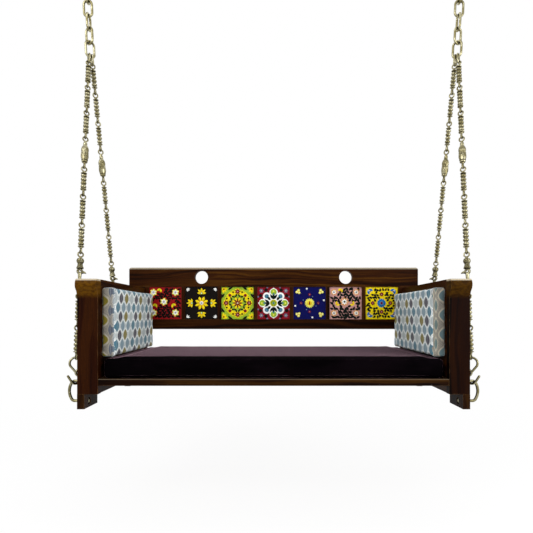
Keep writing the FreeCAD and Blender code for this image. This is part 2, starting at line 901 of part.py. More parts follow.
def seat_cushion():
    """Crowned in the middle and drawn in towards its ends, where the arm pads stand over it."""
    full = cushion_height - cushion_play - soft_play
    drawn = full - cushion_drawn_in
    shoulder = post_inner - panel_thick - pad_thick - cushion_drawn_in
    depth = cushion_depth - 2 * cushion_bulge
    inner_share = 0.5
    sections = []
    for side in (LEFT, RIGHT):
        ends = [
            cushion_section(side * cushion_half, drawn - cushion_drawn_in, depth - 2 * cushion_drawn_in, cushion_end_crown),
            cushion_section(side * shoulder, drawn, depth, cushion_crown),
            cushion_section(side * shoulder * inner_share, full - cushion_crown / 2, depth, cushion_crown),
        ]
        sections += ends if side == LEFT else ends[::-1]
    return Part.makeLoft(sections, True, False, False, 3)


def pad_section(side, z, thickness, length, crown):
    """One level of an arm pad: flat against its board, crowned towards the seat."""
    outer = side * (side_rail_inner - soft_play)
    inner = outer - side * thickness
    middle = (post_back + pad_front_play + backrest_front - pad_rear_play) / 2
    y_front = middle - length / 2
    y_back = middle + length / 2
    round_end = pad_crown
    return Part.Wire([
        Part.LineSegment(vec(outer, y_back, z), vec(outer, y_front, z)).toShape(),
        bowed(vec(outer, y_front, z), vec(inner, y_front, z), vec(0, -round_end, 0)),
        bowed(vec(inner, y_front, z), vec(inner, y_back, z), vec(-side * crown, 0, 0)),
        bowed(vec(inner, y_back, z), vec(outer, y_back, z), vec(0, round_end, 0)),
    ])


def arm_pad(side):
    """Crowned towards the seat and drawn in at its top and bottom edges."""
    top = arm_under - soft_play
    bottom = cushion_top + soft_play
    full = pad_thick - pad_crown
    length = backrest_front - pad_rear_play - post_back - pad_front_play - 2 * pad_crown
    edge_share = 0.12
    rise = (top - bottom) * edge_share
    levels = [
        (bottom, full - pad_drawn_in, length - 2 * pad_drawn_in, pad_crown / 2),
        (bottom + rise, full, length, pad_crown),
        ((bottom + top) / 2, full, length, pad_crown),
        (top - rise, full, length, pad_crown),
        (top, full - pad_drawn_in, length - 2 * pad_drawn_in, pad_crown / 2),
    ]
    sections = [pad_section(side, z, thickness, long, crown) for z, thickness, long, crown in levels]
    return Part.makeLoft(sections, True, False, False, 3)


# Writing the pieces
def write(name, pieces):
    solids = []
    for piece in pieces:
        solids += piece.Solids
    for solid in solids:
        if not solid.isValid() or solid.Volume <= 0:
            raise ValueError(name + " holds a bad solid")
    shape = solids[0] if len(solids) == 1 else Part.makeCompound(solids)
    shape.exportStep("parts/" + name + ".step")
    print(name, len(solids), round(sum(solid.Volume for solid in solids)))


def write_hanging_parts(side, word):
    write("top_link_" + word, [chain_link(side, 0)])
    write("chain_links_" + word, [chain_link(side, number + 1) for number in range(chain_link_count)])
    write("gather_link_" + word, [chain_link(side, chain_link_count + 1)])
    write("gather_rings_" + word, [gather_ring(side, True), gather_ring(side, False)])
    for front in (True, False):
        place = ("front_" if front else "rear_") + word
        write("bead_rods_" + place, leg_rods(side, front))
        write("bud_" + place, [leg_bud(side, front)])
        write("bird_link_" + place, [leg_bird(side, front)])


def write_frame_side(side, word):
    write("hooks_" + word, [hook(side, True), hook(side, False)])
    write("handles_" + word, [handle(side, True), handle(side, False)])
    write("front_post_" + word, [front_post(side)])
    write("rear_post_" + word, [rear_post(side)])
    write("arm_rail_" + word, [arm_rail(side)])
    write("side_rail_" + word, [side_rail(side)])
    write("side_panel_" + word, [side_panel(side)])
    write("arm_pad_" + word, [arm_pad(side)])


def write_feet():
    washers = []
    nuts = []
    for front in (True, False):
        word = "front" if front else "rear"
        write("foot_boards_" + word, [foot_board(LEFT, front), foot_board(RIGHT, front)])
        for side in (LEFT, RIGHT):
            more_washers, more_nuts = washers_and_nuts(side, front)
            washers += more_washers
            nuts += more_nuts
    write("handle_washers", washers)
    write("handle_nuts", nuts)


def write_backrest():
    write("backrest_top_plank", [top_plank()])
    write("backrest_bottom_rail", [bottom_rail()])
    write("backrest_end_stiles", end_stiles())
    write("backrest_muntins", muntins())
    write("backrest_backing_board", [backing_board()])
    write("backrest_screws", screws())
    for number in range(tile_count):
        write("backrest_tile_" + str(number + 1), [tile(number)])


def main():
    os.makedirs("parts", exist_ok=True)
    write("ceiling_plates", [ceiling_plate(LEFT), ceiling_plate(RIGHT)])
    write("ceiling_eyes", [ceiling_eye(LEFT), ceiling_eye(RIGHT)])
    for side, word in ((LEFT, "left"), (RIGHT, "right")):
        write_hanging_parts(side, word)
        write_frame_side(side, word)
    write_feet()
    write("seat_front_rail", [seat_rail(True)])
    write("seat_rear_rail", [seat_rail(False)])
    write("seat_board", [seat_board()])
    write("seat_battens", seat_battens())
    write("seat_cushion", [seat_cushion()])
    write_backrest()


main()
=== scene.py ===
import math
import random

import bpy
import numpy as np
from mathutils import Matrix, Vector


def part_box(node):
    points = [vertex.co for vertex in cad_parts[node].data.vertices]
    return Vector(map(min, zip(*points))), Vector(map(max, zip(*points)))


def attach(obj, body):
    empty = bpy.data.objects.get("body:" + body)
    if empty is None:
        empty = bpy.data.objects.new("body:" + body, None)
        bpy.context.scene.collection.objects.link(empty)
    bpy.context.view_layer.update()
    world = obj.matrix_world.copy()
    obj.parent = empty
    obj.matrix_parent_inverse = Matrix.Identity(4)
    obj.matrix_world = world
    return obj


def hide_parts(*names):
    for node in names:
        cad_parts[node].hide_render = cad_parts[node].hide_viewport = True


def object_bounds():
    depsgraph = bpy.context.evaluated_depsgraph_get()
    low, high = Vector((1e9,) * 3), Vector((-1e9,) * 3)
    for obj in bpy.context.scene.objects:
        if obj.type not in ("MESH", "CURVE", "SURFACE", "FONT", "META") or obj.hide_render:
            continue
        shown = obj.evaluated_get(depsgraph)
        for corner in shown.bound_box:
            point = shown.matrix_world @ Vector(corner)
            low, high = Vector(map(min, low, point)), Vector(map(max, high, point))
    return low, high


bl_info = {
    "name": "Indoor Swing",
    "version": (1, 0, 0),
    "blender": (4, 5, 0),
    "location": "View3D > Sidebar > Swing",
    "description": "Dresses a hanging bench: wood, brass, tiles, cushion and arm pads",
    "category": "Object",
}

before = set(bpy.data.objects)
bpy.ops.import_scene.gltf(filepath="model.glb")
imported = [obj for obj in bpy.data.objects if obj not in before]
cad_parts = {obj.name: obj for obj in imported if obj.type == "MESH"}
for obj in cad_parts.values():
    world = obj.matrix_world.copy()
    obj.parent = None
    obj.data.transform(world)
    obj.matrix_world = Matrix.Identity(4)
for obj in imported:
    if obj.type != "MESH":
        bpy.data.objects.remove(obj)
CAD_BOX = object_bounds()

SIDES = {"left": -1, "right": 1}
LEGS = [(row, side) for row in ("front", "rear") for side in SIDES]
MM = 0.001
FULL_TURN = 2 * math.pi


def paint(red, green, blue):
    """A colour as it looks on paper, 0 to 255, turned to light values by the sRGB curve."""
    shares = [value / 255 for value in (red, green, blue)]
    return tuple(s / 12.92 if s <= 0.04045 else ((s + 0.055) / 1.055) ** 2.4 for s in shares)


def length(name, text, default):
    return bpy.props.FloatProperty(
        name=name, description=text, default=default, min=0.0, precision=4, unit="LENGTH")


def share(name, text, default):
    return bpy.props.FloatProperty(
        name=name, description=text, default=default, min=0.0, max=1.0, subtype="FACTOR")


def count(name, text, default):
    return bpy.props.IntProperty(name=name, description=text, default=default, min=1)


def power(name, text, default):
    return bpy.props.FloatProperty(name=name, description=text, default=default, min=0.0, unit="POWER")


def colour(name, text, default):
    return bpy.props.FloatVectorProperty(
        name=name, description=text, default=paint(*default), size=3, min=0.0, max=1.0, subtype="COLOR")


# Sizes and colours that a user would change
class WoodLook(bpy.types.PropertyGroup):
    dark: colour("Dark streaks", "Darkest streaks of the boards", (22, 7, 2))
    body: colour("Body", "Most of the boards", (50, 22, 4))
    gold: colour("Golden streaks", "Light streaks where the stain is thin", (96, 60, 14))
    post_dark: colour("Post streaks", "Darkest streaks of the redder posts", (10, 2, 1))
    post_body: colour("Post body", "Most of the redder posts", (34, 9, 1))
    post_gold: colour("Post gold", "Light streaks of the redder posts", (64, 32, 4))
    nose: colour("Nose", "End grain of the rounded nose", (88, 56, 4))
    # Partly rubbed lacquer, partly a painted highlight along the edges
    worn: colour("Worn edges", "Edges where the lacquer is rubbed", (150, 110, 62))
    edge: length("Edge width", "How far the wear reaches from an edge", 0.0016)
    nose_drop: length("Nose drop", "How far the nose reaches below the arm rail", 0.046)
    # Painted shade: the nose colour darkens into its cove over this height
    nose_fade: length("Nose fade", "Height over which the nose darkens into its cove", 0.024)
    # Painted highlight laid along the top edges of some boards
    glint: colour("Glint", "Lacquer on a top edge that faces the light", (196, 184, 160))
    # Painted shade: the right front post and its nose get a darker copy of the left post's colours
    right_shade: share("Right shade", "Lightness of the right post against the left", 0.5)
    ply: colour("Plywood", "Face of the seat board and the backing", (140, 104, 66))


class BrassLook(bpy.types.PropertyGroup):
    bright: colour("Rubbed brass", "Brass where hands and movement polish it", (178, 172, 140))
    body: colour("Brass", "Most of the aged brass", (132, 124, 88))
    # The patina colour also stands for painted shade where parts come near each other
    patina: colour("Patina", "Dark tarnish in grooves", (30, 25, 12))
    reach: length("Groove reach", "How far tarnish spreads out of a groove", 0.005)
    steel: colour("Plated steel", "Screws of the backrest", (176, 174, 166))


class LegSizes(bpy.types.PropertyGroup):
    eye_wire: length("Eye wire", "Wire of the eyes between the leg's pieces", 0.0055)
    eye_bore: length("Eye bore", "Inside width of the eyes", 0.013)
    eye_play: length("Eye play", "Gap between two linked eyes", 0.0005)
    neck: length("Neck length", "Bare neck between an eye and its body", 0.0045)
    neck_width: length("Neck width", "Width of the neck beside its body", 0.0140)
    bead_width: length("Bead width", "Widest part of a bead", 0.021)
    groove_width: length("Groove width", "Width between two beads", 0.0130)
    bead_count: count("Beads", "Beads of one rod", 4)
    collar_width: length("Collar width", "Width of the end collars", 0.022)
    collar_thick: length("Collar thickness", "Height of an end collar", 0.005)
    bud_width: length("Bud width", "Widest part of the bud", 0.0255)
    bud_waist: length("Bud waist", "Width at the bud's waist band", 0.0235)
    bell_width: length("Bell width", "Width of the bell's rim", 0.025)
    bell_waist: length("Bell waist", "Narrowest part of the bell", 0.016)
    bell_length: length("Bell length", "Height of the bell", 0.038)
    head_width: length("Head width", "Width of the bird's head", 0.0235)
    head_thick: length("Head thickness", "Thickness of the bird's head", 0.013)
    beak_reach: length("Beak reach", "Reach of the beak from the leg's line", 0.023)
    bird_eye_bore: length("Eye hole", "Hole through the bird's head", 0.009)
    relief: length("Relief", "Depth of the carved leaves and flutes", 0.0008)
    gather_turn: bpy.props.FloatProperty(
        name="Last link's turn", description="Turn of the last link about the vertical",
        default=math.radians(40), subtype="ANGLE")


class ClothLook(bpy.types.PropertyGroup):
    pitch: length("Leaf pitch", "Distance from leaf to leaf along a row", 0.0565)
    drop: length("Row repeat", "Height from a row to the next like row", 0.066)
    first_along: length("First leaf", "Distance of the first leaf from the pad's front corner", 0.0775)
    first_down: bpy.props.FloatVectorProperty(
        name="First row", description="Distance of the first row below the left and the right pad's top",
        default=(0.0395, 0.0545), size=2, unit="LENGTH")
    end_shift: bpy.props.FloatVectorProperty(
        name="End shift", description="Cloth taken up round the left and the right pad's front corner",
        default=(-0.0005, 0.0318), size=2, unit="LENGTH")
    skew: length("End skew", "How far the rows sink on the pad's front end", 0.012)
    lean: share("Lean", "How far the leaves wander to the front on their way down, for each metre", 0.13)
    leaf_width: length("Leaf width", "Width of a woven leaf", 0.040)
    leaf_height: length("Leaf height", "Height of a woven leaf", 0.043)
    outline: length("Outline", "Width of the white line round a leaf", 0.0042)
    thread: length("Thread", "Width of one thread of the weave", 0.0007)
    ground: colour("Ground", "Ground of the cloth", (178, 190, 196))
    white: colour("White", "Lines round the leaves", (246, 250, 248))
    charcoal: colour("Charcoal leaf", "First leaf of the first row", (66, 62, 76))
    olive: colour("Olive leaf", "Second leaf of the first row", (128, 116, 34))
    pale: colour("Pale leaf", "Third leaf of the first row", (182, 192, 194))
    teal: colour("Teal leaf", "First leaf of the second row", (74, 122, 142))
    slate: colour("Slate leaf", "Other leaves of the second row", (126, 152, 166))
    end_ground: colour("End ground", "Ground of the cloth on the pads' front ends", (176, 170, 152))
    end_leaf: colour("End leaf", "Large leaves on the right pad's front end", (78, 100, 98))
    swell: length("Pad swell", "How far the filling may push the cloth out", 0.006)


class CushionLook(bpy.types.PropertyGroup):
    pile: colour("Pile", "Base of the velvet", (2, 1, 2))
    nap: colour("Nap", "Velvet brushed towards the light", (9, 5, 8))
    crown: length("Crown", "How far the top panel falls towards its front and rear edge", 0.016)
    sheen: colour("Sheen", "Light caught by the tips of the pile", (248, 202, 220))
    swell: length("Cushion swell", "How far the filling may push the cloth out", 0.008)
    piping: length("Piping", "Width of the corded seams", 0.004)


class GlazeLook(bpy.types.PropertyGroup):
    red: colour("Red", "Ground of the first tile", (152, 22, 26))
    black: colour("Black", "Ground of the second tile, and dark leaves", (16, 10, 8))
    lime: colour("Lime", "Ground of the third tile, and light green dots", (158, 190, 48))
    crimson: colour("Crimson", "Ground of the fourth tile", (136, 16, 32))
    navy: colour("Navy", "Ground of the fifth tile, and flower hearts", (5, 9, 84))
    pink: colour("Pink", "Ground of the sixth tile", (204, 152, 146))
    yellow: colour("Yellow", "Ground of the seventh tile, and petals", (252, 224, 20))
    lemon: colour("Lemon", "Pale yellow petals", (246, 238, 96))
    white: colour("White", "White petals and lobes", (252, 253, 250))
    cream: colour("Cream", "Pale hearts of flowers", (226, 216, 168))
    orange: colour("Orange", "Orange petals and hearts", (232, 160, 50))
    maroon: colour("Maroon", "Dark red flowers", (120, 16, 28))
    green: colour("Leaf green", "Very dark green leaves", (8, 20, 16))
    teal: colour("Teal", "Dots of the white rosette", (50, 122, 146))
    blue: colour("Blue", "Blue flowers", (28, 112, 190))
    grey_blue: colour("Grey blue", "Small flowers and dots", (110, 132, 160))
    relief: length("Glaze relief", "How far the painted glaze stands up", 0.0004)


class StageLook(bpy.types.PropertyGroup):
    floor_drop: length("Floor drop", "Height of the feet over the floor", 0.36)
    floor: colour("Floor", "Colour of the floor", (250, 250, 250))
    keep: share("Shadow share", "How much of the floor's own light the camera sees", 0.12)
    fade: length("Shadow fade", "Distance from the middle where the floor is plain white", 2.6)
    world: bpy.props.FloatProperty(name="World", description="Strength of the even light", default=0.7)
    key: power("Key", "Power of the soft key light", 62.0)
    fill: power("Fill", "Power of the soft fill light", 50.0)
    top: power("Top", "Power of the soft top light", 16.0)


class SwingLook(bpy.types.PropertyGroup):
    wood: bpy.props.PointerProperty(type=WoodLook, name="Wood", description="Stained wood")
    brass: bpy.props.PointerProperty(type=BrassLook, name="Brass", description="Aged brass")
    legs: bpy.props.PointerProperty(type=LegSizes, name="Legs", description="Pieces of the bead legs")
    cloth: bpy.props.PointerProperty(type=ClothLook, name="Pad cloth", description="Cloth of the arm pads")
    cushion: bpy.props.PointerProperty(type=CushionLook, name="Cushion", description="Seat cushion")
    glaze: bpy.props.PointerProperty(type=GlazeLook, name="Glazes", description="Colours of the tiles")
    stage: bpy.props.PointerProperty(type=StageLook, name="Stage", description="Floor, light and camera")


def look():
    return bpy.context.scene.swing_look


# Building node trees
class Nodes:
    """Adds nodes to a tree, each in one call. An input is a value or another node's output."""

    def __init__(self, tree):
        self.tree = tree

    def feed(self, socket, value):
        if isinstance(value, bpy.types.NodeSocket):
            self.tree.links.new(value, socket)
        elif hasattr(value, "__len__") and len(value) == 3 and socket.type == "RGBA":
            socket.default_value = (*value, 1.0)
        else:
            socket.default_value = value

    def add(self, kind, inputs=None, **settings):
        node = self.tree.nodes.new(kind)
        for key, value in settings.items():
            setattr(node, key, value)
        for key, value in (inputs or {}).items():
            self.feed(node.inputs[key], value)
        return node

    def math(self, operation, first, second=0.0, third=0.0):
        inputs = {0: first, 1: second, 2: third}
        return self.add("ShaderNodeMath", inputs, operation=operation).outputs[0]

    def times(self, first, second):
        return self.math("MULTIPLY", first, second)

    def plus(self, first, second):
        return self.math("ADD", first, second)

    def minus(self, first, second):
        return self.math("SUBTRACT", first, second)

    def vector(self, operation, first, second=(0.0, 0.0, 0.0)):
        return self.add("ShaderNodeVectorMath", {0: first, 1: second}, operation=operation)

    def scaled(self, vector, scales):
        return self.vector("MULTIPLY", vector, scales).outputs[0]

    def ramp(self, value, low, high, to_low=0.0, to_high=1.0):
        inputs = {"Value": value, "From Min": low, "From Max": high, "To Min": to_low, "To Max": to_high}
        node = self.add("ShaderNodeMapRange", inputs, interpolation_type="SMOOTHSTEP")
        return node.outputs["Result"]

    def mix(self, factor, first, second, blend="MIX"):
        inputs = {0: factor, 6: first, 7: second}
        return self.add("ShaderNodeMix", inputs, data_type="RGBA", blend_type=blend).outputs[2]

    def noise(self, vector, scale=1.0, detail=2.0, roughness=0.5):
        inputs = {"Vector": vector, "Scale": scale, "Detail": detail, "Roughness": roughness}
        return self.add("ShaderNodeTexNoise", inputs).outputs["Fac"]

    def split(self, vector):
        return self.add("ShaderNodeSeparateXYZ", {0: vector}).outputs

    def join(self, x, y, z):
        return self.add("ShaderNodeCombineXYZ", {0: x, 1: y, 2: z}).outputs[0]


GROUPS = {}


def shader_group(name, inputs, outputs, build):
    """A shader node group, built the first time that it is asked for."""
    if name not in GROUPS:
        tree = bpy.data.node_groups.new(name, "ShaderNodeTree")
        for kinds, direction in ((inputs, "INPUT"), (outputs, "OUTPUT")):
            for socket, kind in kinds.items():
                tree.interface.new_socket(socket, in_out=direction, socket_type="NodeSocket" + kind)
        source = tree.nodes.new("NodeGroupInput").outputs
        target = tree.nodes.new("NodeGroupOutput").inputs
        nodes = Nodes(tree)
        for socket, value in build(nodes, source).items():
            nodes.feed(target[socket], value)
        GROUPS[name] = tree
    return GROUPS[name]


def use_group(nodes, tree, inputs):
    return nodes.add("ShaderNodeGroup", inputs, node_tree=tree).outputs


def grain_group():
    """Streaked hardwood whose grain runs along X, solid through the piece."""
    def build(n, source):
        place = source["Vector"]
        wander = n.noise(n.scaled(place, (1.4, 6.0, 6.0)), 1.0, 3.0)
        x, y, z = n.split(place)[:3]
        across = n.plus(n.plus(y, n.times(z, 0.7)), n.times(wander, 0.09))
        streak = n.noise(n.join(n.times(x, 1.1), n.times(across, 62.0), n.times(z, 9.0)), 1.0, 5.0, 0.62)
        broad = n.noise(n.scaled(place, (0.9, 13.0, 13.0)), 1.0, 2.0)
        fibre = n.noise(n.scaled(place, (16.0, 620.0, 620.0)), 1.0, 2.0)
        pores = n.ramp(n.noise(n.scaled(place, (55.0, 1500.0, 1500.0)), 1.0, 1.0), 0.60, 0.72)
        body = n.mix(n.ramp(streak, 0.40, 0.52), source["Dark"], source["Body"])
        gold_mask = n.times(n.ramp(streak, 0.50, 0.62), n.ramp(broad, 0.36, 0.60))
        gold_mask = n.times(gold_mask, source["Gold Share"])
        tone = n.mix(gold_mask, body, source["Gold"])
        tone = n.mix(n.ramp(fibre, 0.30, 0.70, 0.0, 0.35), tone, source["Dark"])
        tone = n.mix(n.times(pores, 0.6), tone, source["Dark"])
        height = n.minus(n.times(fibre, 0.4), pores)
        rough = n.ramp(broad, 0.2, 0.8, 0.34, 0.52)
        return {"Color": tone, "Height": height, "Roughness": rough}
    inputs = {"Vector": "Vector", "Dark": "Color", "Body": "Color", "Gold": "Color", "Gold Share": "Float"}
    outputs = {"Color": "Color", "Height": "Float", "Roughness": "Float"}
    return shader_group("Wood grain", inputs, outputs, build)


def wear_group():
    """A mask along the outer edges of a piece, broken up as rubbing does it. It lightens the edges, partly as
    rubbed lacquer and partly as a painted highlight.
    """
    def build(n, source):
        rounded = n.add("ShaderNodeBevel", {"Radius": source["Reach"]}, samples=4).outputs[0]
        flat = n.add("ShaderNodeNewGeometry").outputs["Normal"]
        turn = n.vector("DOT_PRODUCT", rounded, flat).outputs["Value"]
        edge = n.ramp(turn, 0.995, 0.90)
        patches = n.ramp(n.noise(source["Vector"], 38.0, 3.0), 0.38, 0.62, 0.25, 1.0)
        return {"Mask": n.times(edge, patches)}
    return shader_group("Edge wear", {"Vector": "Vector", "Reach": "Float"}, {"Mask": "Float"}, build)


def tarnish_group():
    """Aged metal: bright where it is rubbed, and dark where ambient occlusion finds grooves and nearby parts,
    partly patina and partly painted shade.
    """
    def build(n, source):
        place = source["Vector"]
        hidden = n.add("ShaderNodeAmbientOcclusion", {"Distance": source["Reach"]}, samples=6).outputs["AO"]
        cloudy = n.noise(place, 46.0, 4.0, 0.6)
        specks = n.noise(place, 620.0, 3.0, 0.6)
        # Dark where ambient occlusion finds nearby surfaces: patina in grooves, painted shade where parts
        # touch
        groove = n.ramp(hidden, 0.95, 0.60)
        groove = n.math("MAXIMUM", groove, n.ramp(cloudy, 0.58, 0.78, 0.0, 0.25))
        groove = n.math("MAXIMUM", groove, n.ramp(specks, 0.64, 0.76, 0.0, 0.2))
        rubbed = n.times(n.ramp(cloudy, 0.58, 0.38), n.ramp(hidden, 0.84, 0.98))
        tone = n.mix(rubbed, source["Body"], source["Bright"])
        tone = n.mix(groove, tone, source["Patina"])
        rough = n.plus(n.ramp(cloudy, 0.3, 0.7, 0.22, 0.38), n.times(groove, 0.3))
        height = n.minus(n.times(cloudy, 0.6), n.times(specks, 0.4))
        metal = n.minus(1.0, n.times(groove, 0.5))
        return {"Color": tone, "Roughness": rough, "Height": height, "Metallic": metal}
    inputs = {"Vector": "Vector", "Body": "Color", "Bright": "Color", "Patina": "Color", "Reach": "Float"}
    outputs = {"Color": "Color", "Roughness": "Float", "Height": "Float", "Metallic": "Float"}
    return shader_group("Tarnish", inputs, outputs, build)


def glaze_group():
    """Hand-poured glaze: clouded colour, orange peel and a faint craze."""
    def build(n, source):
        place = source["Vector"]
        cloud = n.noise(place, 70.0, 4.0, 0.6)
        tone = n.mix(n.ramp(cloud, 0.35, 0.75, 0.0, 0.28), source["Color"], (0.0, 0.0, 0.0))
        crack = n.add("ShaderNodeTexVoronoi", {"Vector": place, "Scale": 150.0}, feature="DISTANCE_TO_EDGE")
        line = n.ramp(crack.outputs["Distance"], 0.0, 0.03, 1.0, 0.0)
        tone = n.mix(n.times(line, 0.16), tone, (0.05, 0.04, 0.03))
        peel = n.noise(place, 240.0, 2.0)
        height = n.minus(peel, n.times(line, 0.5))
        return {"Color": tone, "Roughness": n.ramp(cloud, 0.3, 0.7, 0.12, 0.24), "Height": height}
    outputs = {"Color": "Color", "Roughness": "Float", "Height": "Float"}
    return shader_group("Glaze", {"Vector": "Vector", "Color": "Color"}, outputs, build)


def weave_group():
    """Plain weave over a flat UV map in metres: threads that go over and under. Its Shade is painted shade,
    darker where a thread dips under, and it also varies along the yarn's slubs.
    """
    def build(n, source):
        u, v = n.split(source["Vector"])[:2]
        step = n.math("DIVIDE", math.pi, source["Thread"])
        warp = n.math("SINE", n.times(u, step))
        weft = n.math("SINE", n.times(v, step))
        cross = n.times(warp, weft)
        slub = n.noise(n.scaled(source["Vector"], (400.0, 3000.0, 1.0)), 1.0, 2.0)
        height = n.plus(n.times(cross, 0.5), slub)
        return {"Height": height, "Shade": n.ramp(height, 0.0, 1.0, 0.86, 1.0)}
    return shader_group(
        "Weave", {"Vector": "Vector", "Thread": "Float"}, {"Height": "Float", "Shade": "Float"}, build)


# The pattern's sizes and colours, named as in the cloth's settings
LEAF_SIZES = ("Pitch", "Drop", "First Along", "Leaf Width", "Leaf Height", "Outline")
LEAF_COLOURS = ("Ground", "End Ground", "White", "Charcoal", "Olive", "Pale", "Teal", "Slate", "End Leaf")
# Shift of the first and of the second row along and down, as a share of the repeat
ROW_SHIFTS = (0.0, 0.5)
# Share of its width that a leaf of each row, by the row's shift, keeps on each pad's end
END_WIDTHS = {"left": {0.0: 1.0, 0.5: 0.34}, "right": {0.0: 0.3, 0.5: 0.8}}


def leaf_pattern_group():
    """Rows of pointed leaves on a half-drop repeat, each in a white outline, over a flat UV map. Round the
    pad's front corner the ground and the leaves change to those of its end."""
    corner_in, corner_out = 0.012, -0.004
    fringe_start, fringe_full = 0.030, 0.012
    fringe_end, fringe_fading = -0.020, -0.006
    hatch_lines = 240.0
    soft = 0.0004
    ground_gap = 0.0014
    rib_in, rib_out = 0.0005, 0.0012

    def build(n, source):
        u, v = n.split(source["Vector"])[:2]

        def leaves(shift):
            """For a row: a mask of its leaves grown by a width, their number along it, and the distance
            from a leaf's rib."""
            from_first = n.minus(u, source["First Along"])
            along = n.plus(n.math("DIVIDE", from_first, source["Pitch"]), 0.5 + shift)
            down = n.plus(n.math("DIVIDE", v, source["Drop"]), 0.5 + shift)
            number = n.minus(n.math("FLOOR", along), shift)
            x = n.times(n.minus(n.math("FRACT", along), 0.5), source["Pitch"])
            y = n.times(n.minus(n.math("FRACT", down), 0.5), source["Drop"])

            def inside(grow):
                tall = n.plus(source["Leaf Height"], n.times(grow, 2.6))
                widths = [END_WIDTHS[side][shift] for side in SIDES]
                kept = n.ramp(source["Right"], 0.0, 1.0, *widths)
                folded = n.ramp(u, corner_in - 0.002, corner_out, 1.0, kept)
                wide = n.plus(n.times(source["Leaf Width"], 0.5), grow)
                wide = n.times(wide, folded)
                turn = n.math("MINIMUM", n.math("ABSOLUTE", n.math("DIVIDE", y, tall)), 0.5)
                half = n.times(n.math("COSINE", n.times(turn, math.pi)), wide)
                return n.ramp(n.minus(half, n.math("ABSOLUTE", x)), -soft, soft)
            return inside, number, n.math("ABSOLUTE", x)

        first, first_number, first_x = leaves(ROW_SHIFTS[0])
        second, second_number, second_x = leaves(ROW_SHIFTS[1])
        hatch = n.math("FRACT", n.times(n.plus(first_x, n.times(v, 0.8)), hatch_lines))
        hatch = n.ramp(n.math("ABSOLUTE", n.minus(hatch, 0.5)), 0.14, 0.24)
        end = n.ramp(u, corner_in, corner_out)
        ground = n.mix(end, source["Ground"], source["End Ground"])
        tone = n.mix(n.mix(end, (0.45, 0.45, 0.45), (0.0, 0.0, 0.0)), ground, source["White"])
        tone = n.mix(n.times(hatch, n.ramp(u, 0.0, -0.01, 0.35, 0.75)), tone, source["Charcoal"])
        # Which leaf of three it is; 300 only keeps the numbers above zero
        third = n.math("MODULO", n.plus(first_number, 300.0), 3.0)
        other = n.math("MODULO", n.plus(second_number, 300.5), 3.0)
        first_tone = n.mix(n.ramp(third, 0.4, 0.6), source["Charcoal"], source["Olive"])
        first_tone = n.mix(n.ramp(third, 1.4, 1.6), first_tone, source["Pale"])
        second_tone = n.mix(n.ramp(other, 0.4, 0.6), source["Teal"], source["Slate"])
        end_tone = n.mix(source["Right"], source["Charcoal"], source["End Leaf"])
        second_tone = n.mix(n.times(end, 0.7), second_tone, end_tone)
        first_tone = n.mix(n.times(end, source["Right"]), first_tone, source["End Leaf"])
        rib_first = n.ramp(first_x, rib_in, rib_out, 0.25, 0.0)
        rib_second = n.ramp(second_x, rib_in, rib_out, 0.25, 0.0)
        layers = ((first, first_tone, rib_first), (second, second_tone, rib_second))
        rim = n.mix(end, source["White"], source["End Ground"])
        for inside, _, _ in layers:
            tone = n.mix(inside(n.plus(source["Outline"], ground_gap)), tone, ground)
            tone = n.mix(inside(source["Outline"]), tone, rim)
        raised = 0.0
        for inside, leaf_tone, rib in layers:
            leaf = inside(0.0)
            tone = n.mix(leaf, tone, n.mix(rib, leaf_tone, source["White"]))
            raised = n.math("MAXIMUM", raised, leaf)
        fringe = n.times(n.ramp(u, fringe_start, fringe_full), n.ramp(u, fringe_end, fringe_fading))
        tone = n.mix(n.times(hatch, n.times(fringe, 0.7)), tone, source["Charcoal"])
        return {"Color": tone, "Raised": raised}
    inputs = {"Vector": "Vector", "Right": "Float", **dict.fromkeys(LEAF_SIZES, "Float"),
              **dict.fromkeys(LEAF_COLOURS, "Color")}
    return shader_group("Leaf pattern", inputs, {"Color": "Color", "Raised": "Float"}, build)


# Finishes
FINISHES = {}
# Depth in metres and strength of each finish's relief, and its plain specular level
RELIEFS = {"wood": (0.00012, 0.6), "plywood": (0.0002, 0.6), "brass": (0.00025, 0.7), "steel": (0.0001, 0.5),
           "glaze": (0.0001, 0.5), "cloth": (0.0004, 0.7), "velvet": (0.0007, 0.6)}
SPECULAR = {"wood": 0.03, "plywood": 0.3, "glaze": 0.06, "cloth": 0.2, "velvet": 0.01}


def finish(name, kind, build, plain=None):
    """A material, built the first time that it is asked for. build(nodes, place) gets the Object
    coordinates and returns what changes over the piece: shader inputs, and the Height of the relief.
    plain holds shader inputs that are the same all over."""
    if name not in FINISHES:
        material = bpy.data.materials.new(name)
        material.use_nodes = True
        nodes = Nodes(material.node_tree)
        shader = material.node_tree.nodes["Principled BSDF"]
        made = build(nodes, nodes.add("ShaderNodeTexCoord").outputs["Object"])
        depth, strength = RELIEFS[kind]
        made["Normal"] = nodes.add("ShaderNodeBump", {
            "Height": made.pop("Height"), "Distance": depth, "Strength": strength}).outputs[0]
        if kind in SPECULAR:
            made["Specular IOR Level"] = SPECULAR[kind]
        for key, value in {**made, **(plain or {})}.items():
            nodes.feed(shader.inputs[key], value)
        FINISHES[name] = material
    return FINISHES[name]


# Radians for each metre of the wave that tells one ply from the next
PLY_WAVES = 2600.0
# Turns that lay the grain of the figure along each axis
GRAIN_TURNS = {"x": (0.0, 0.0, 0.0), "y": (0.0, 0.0, math.pi / 2), "z": (0.0, math.pi / 2, 0.0)}


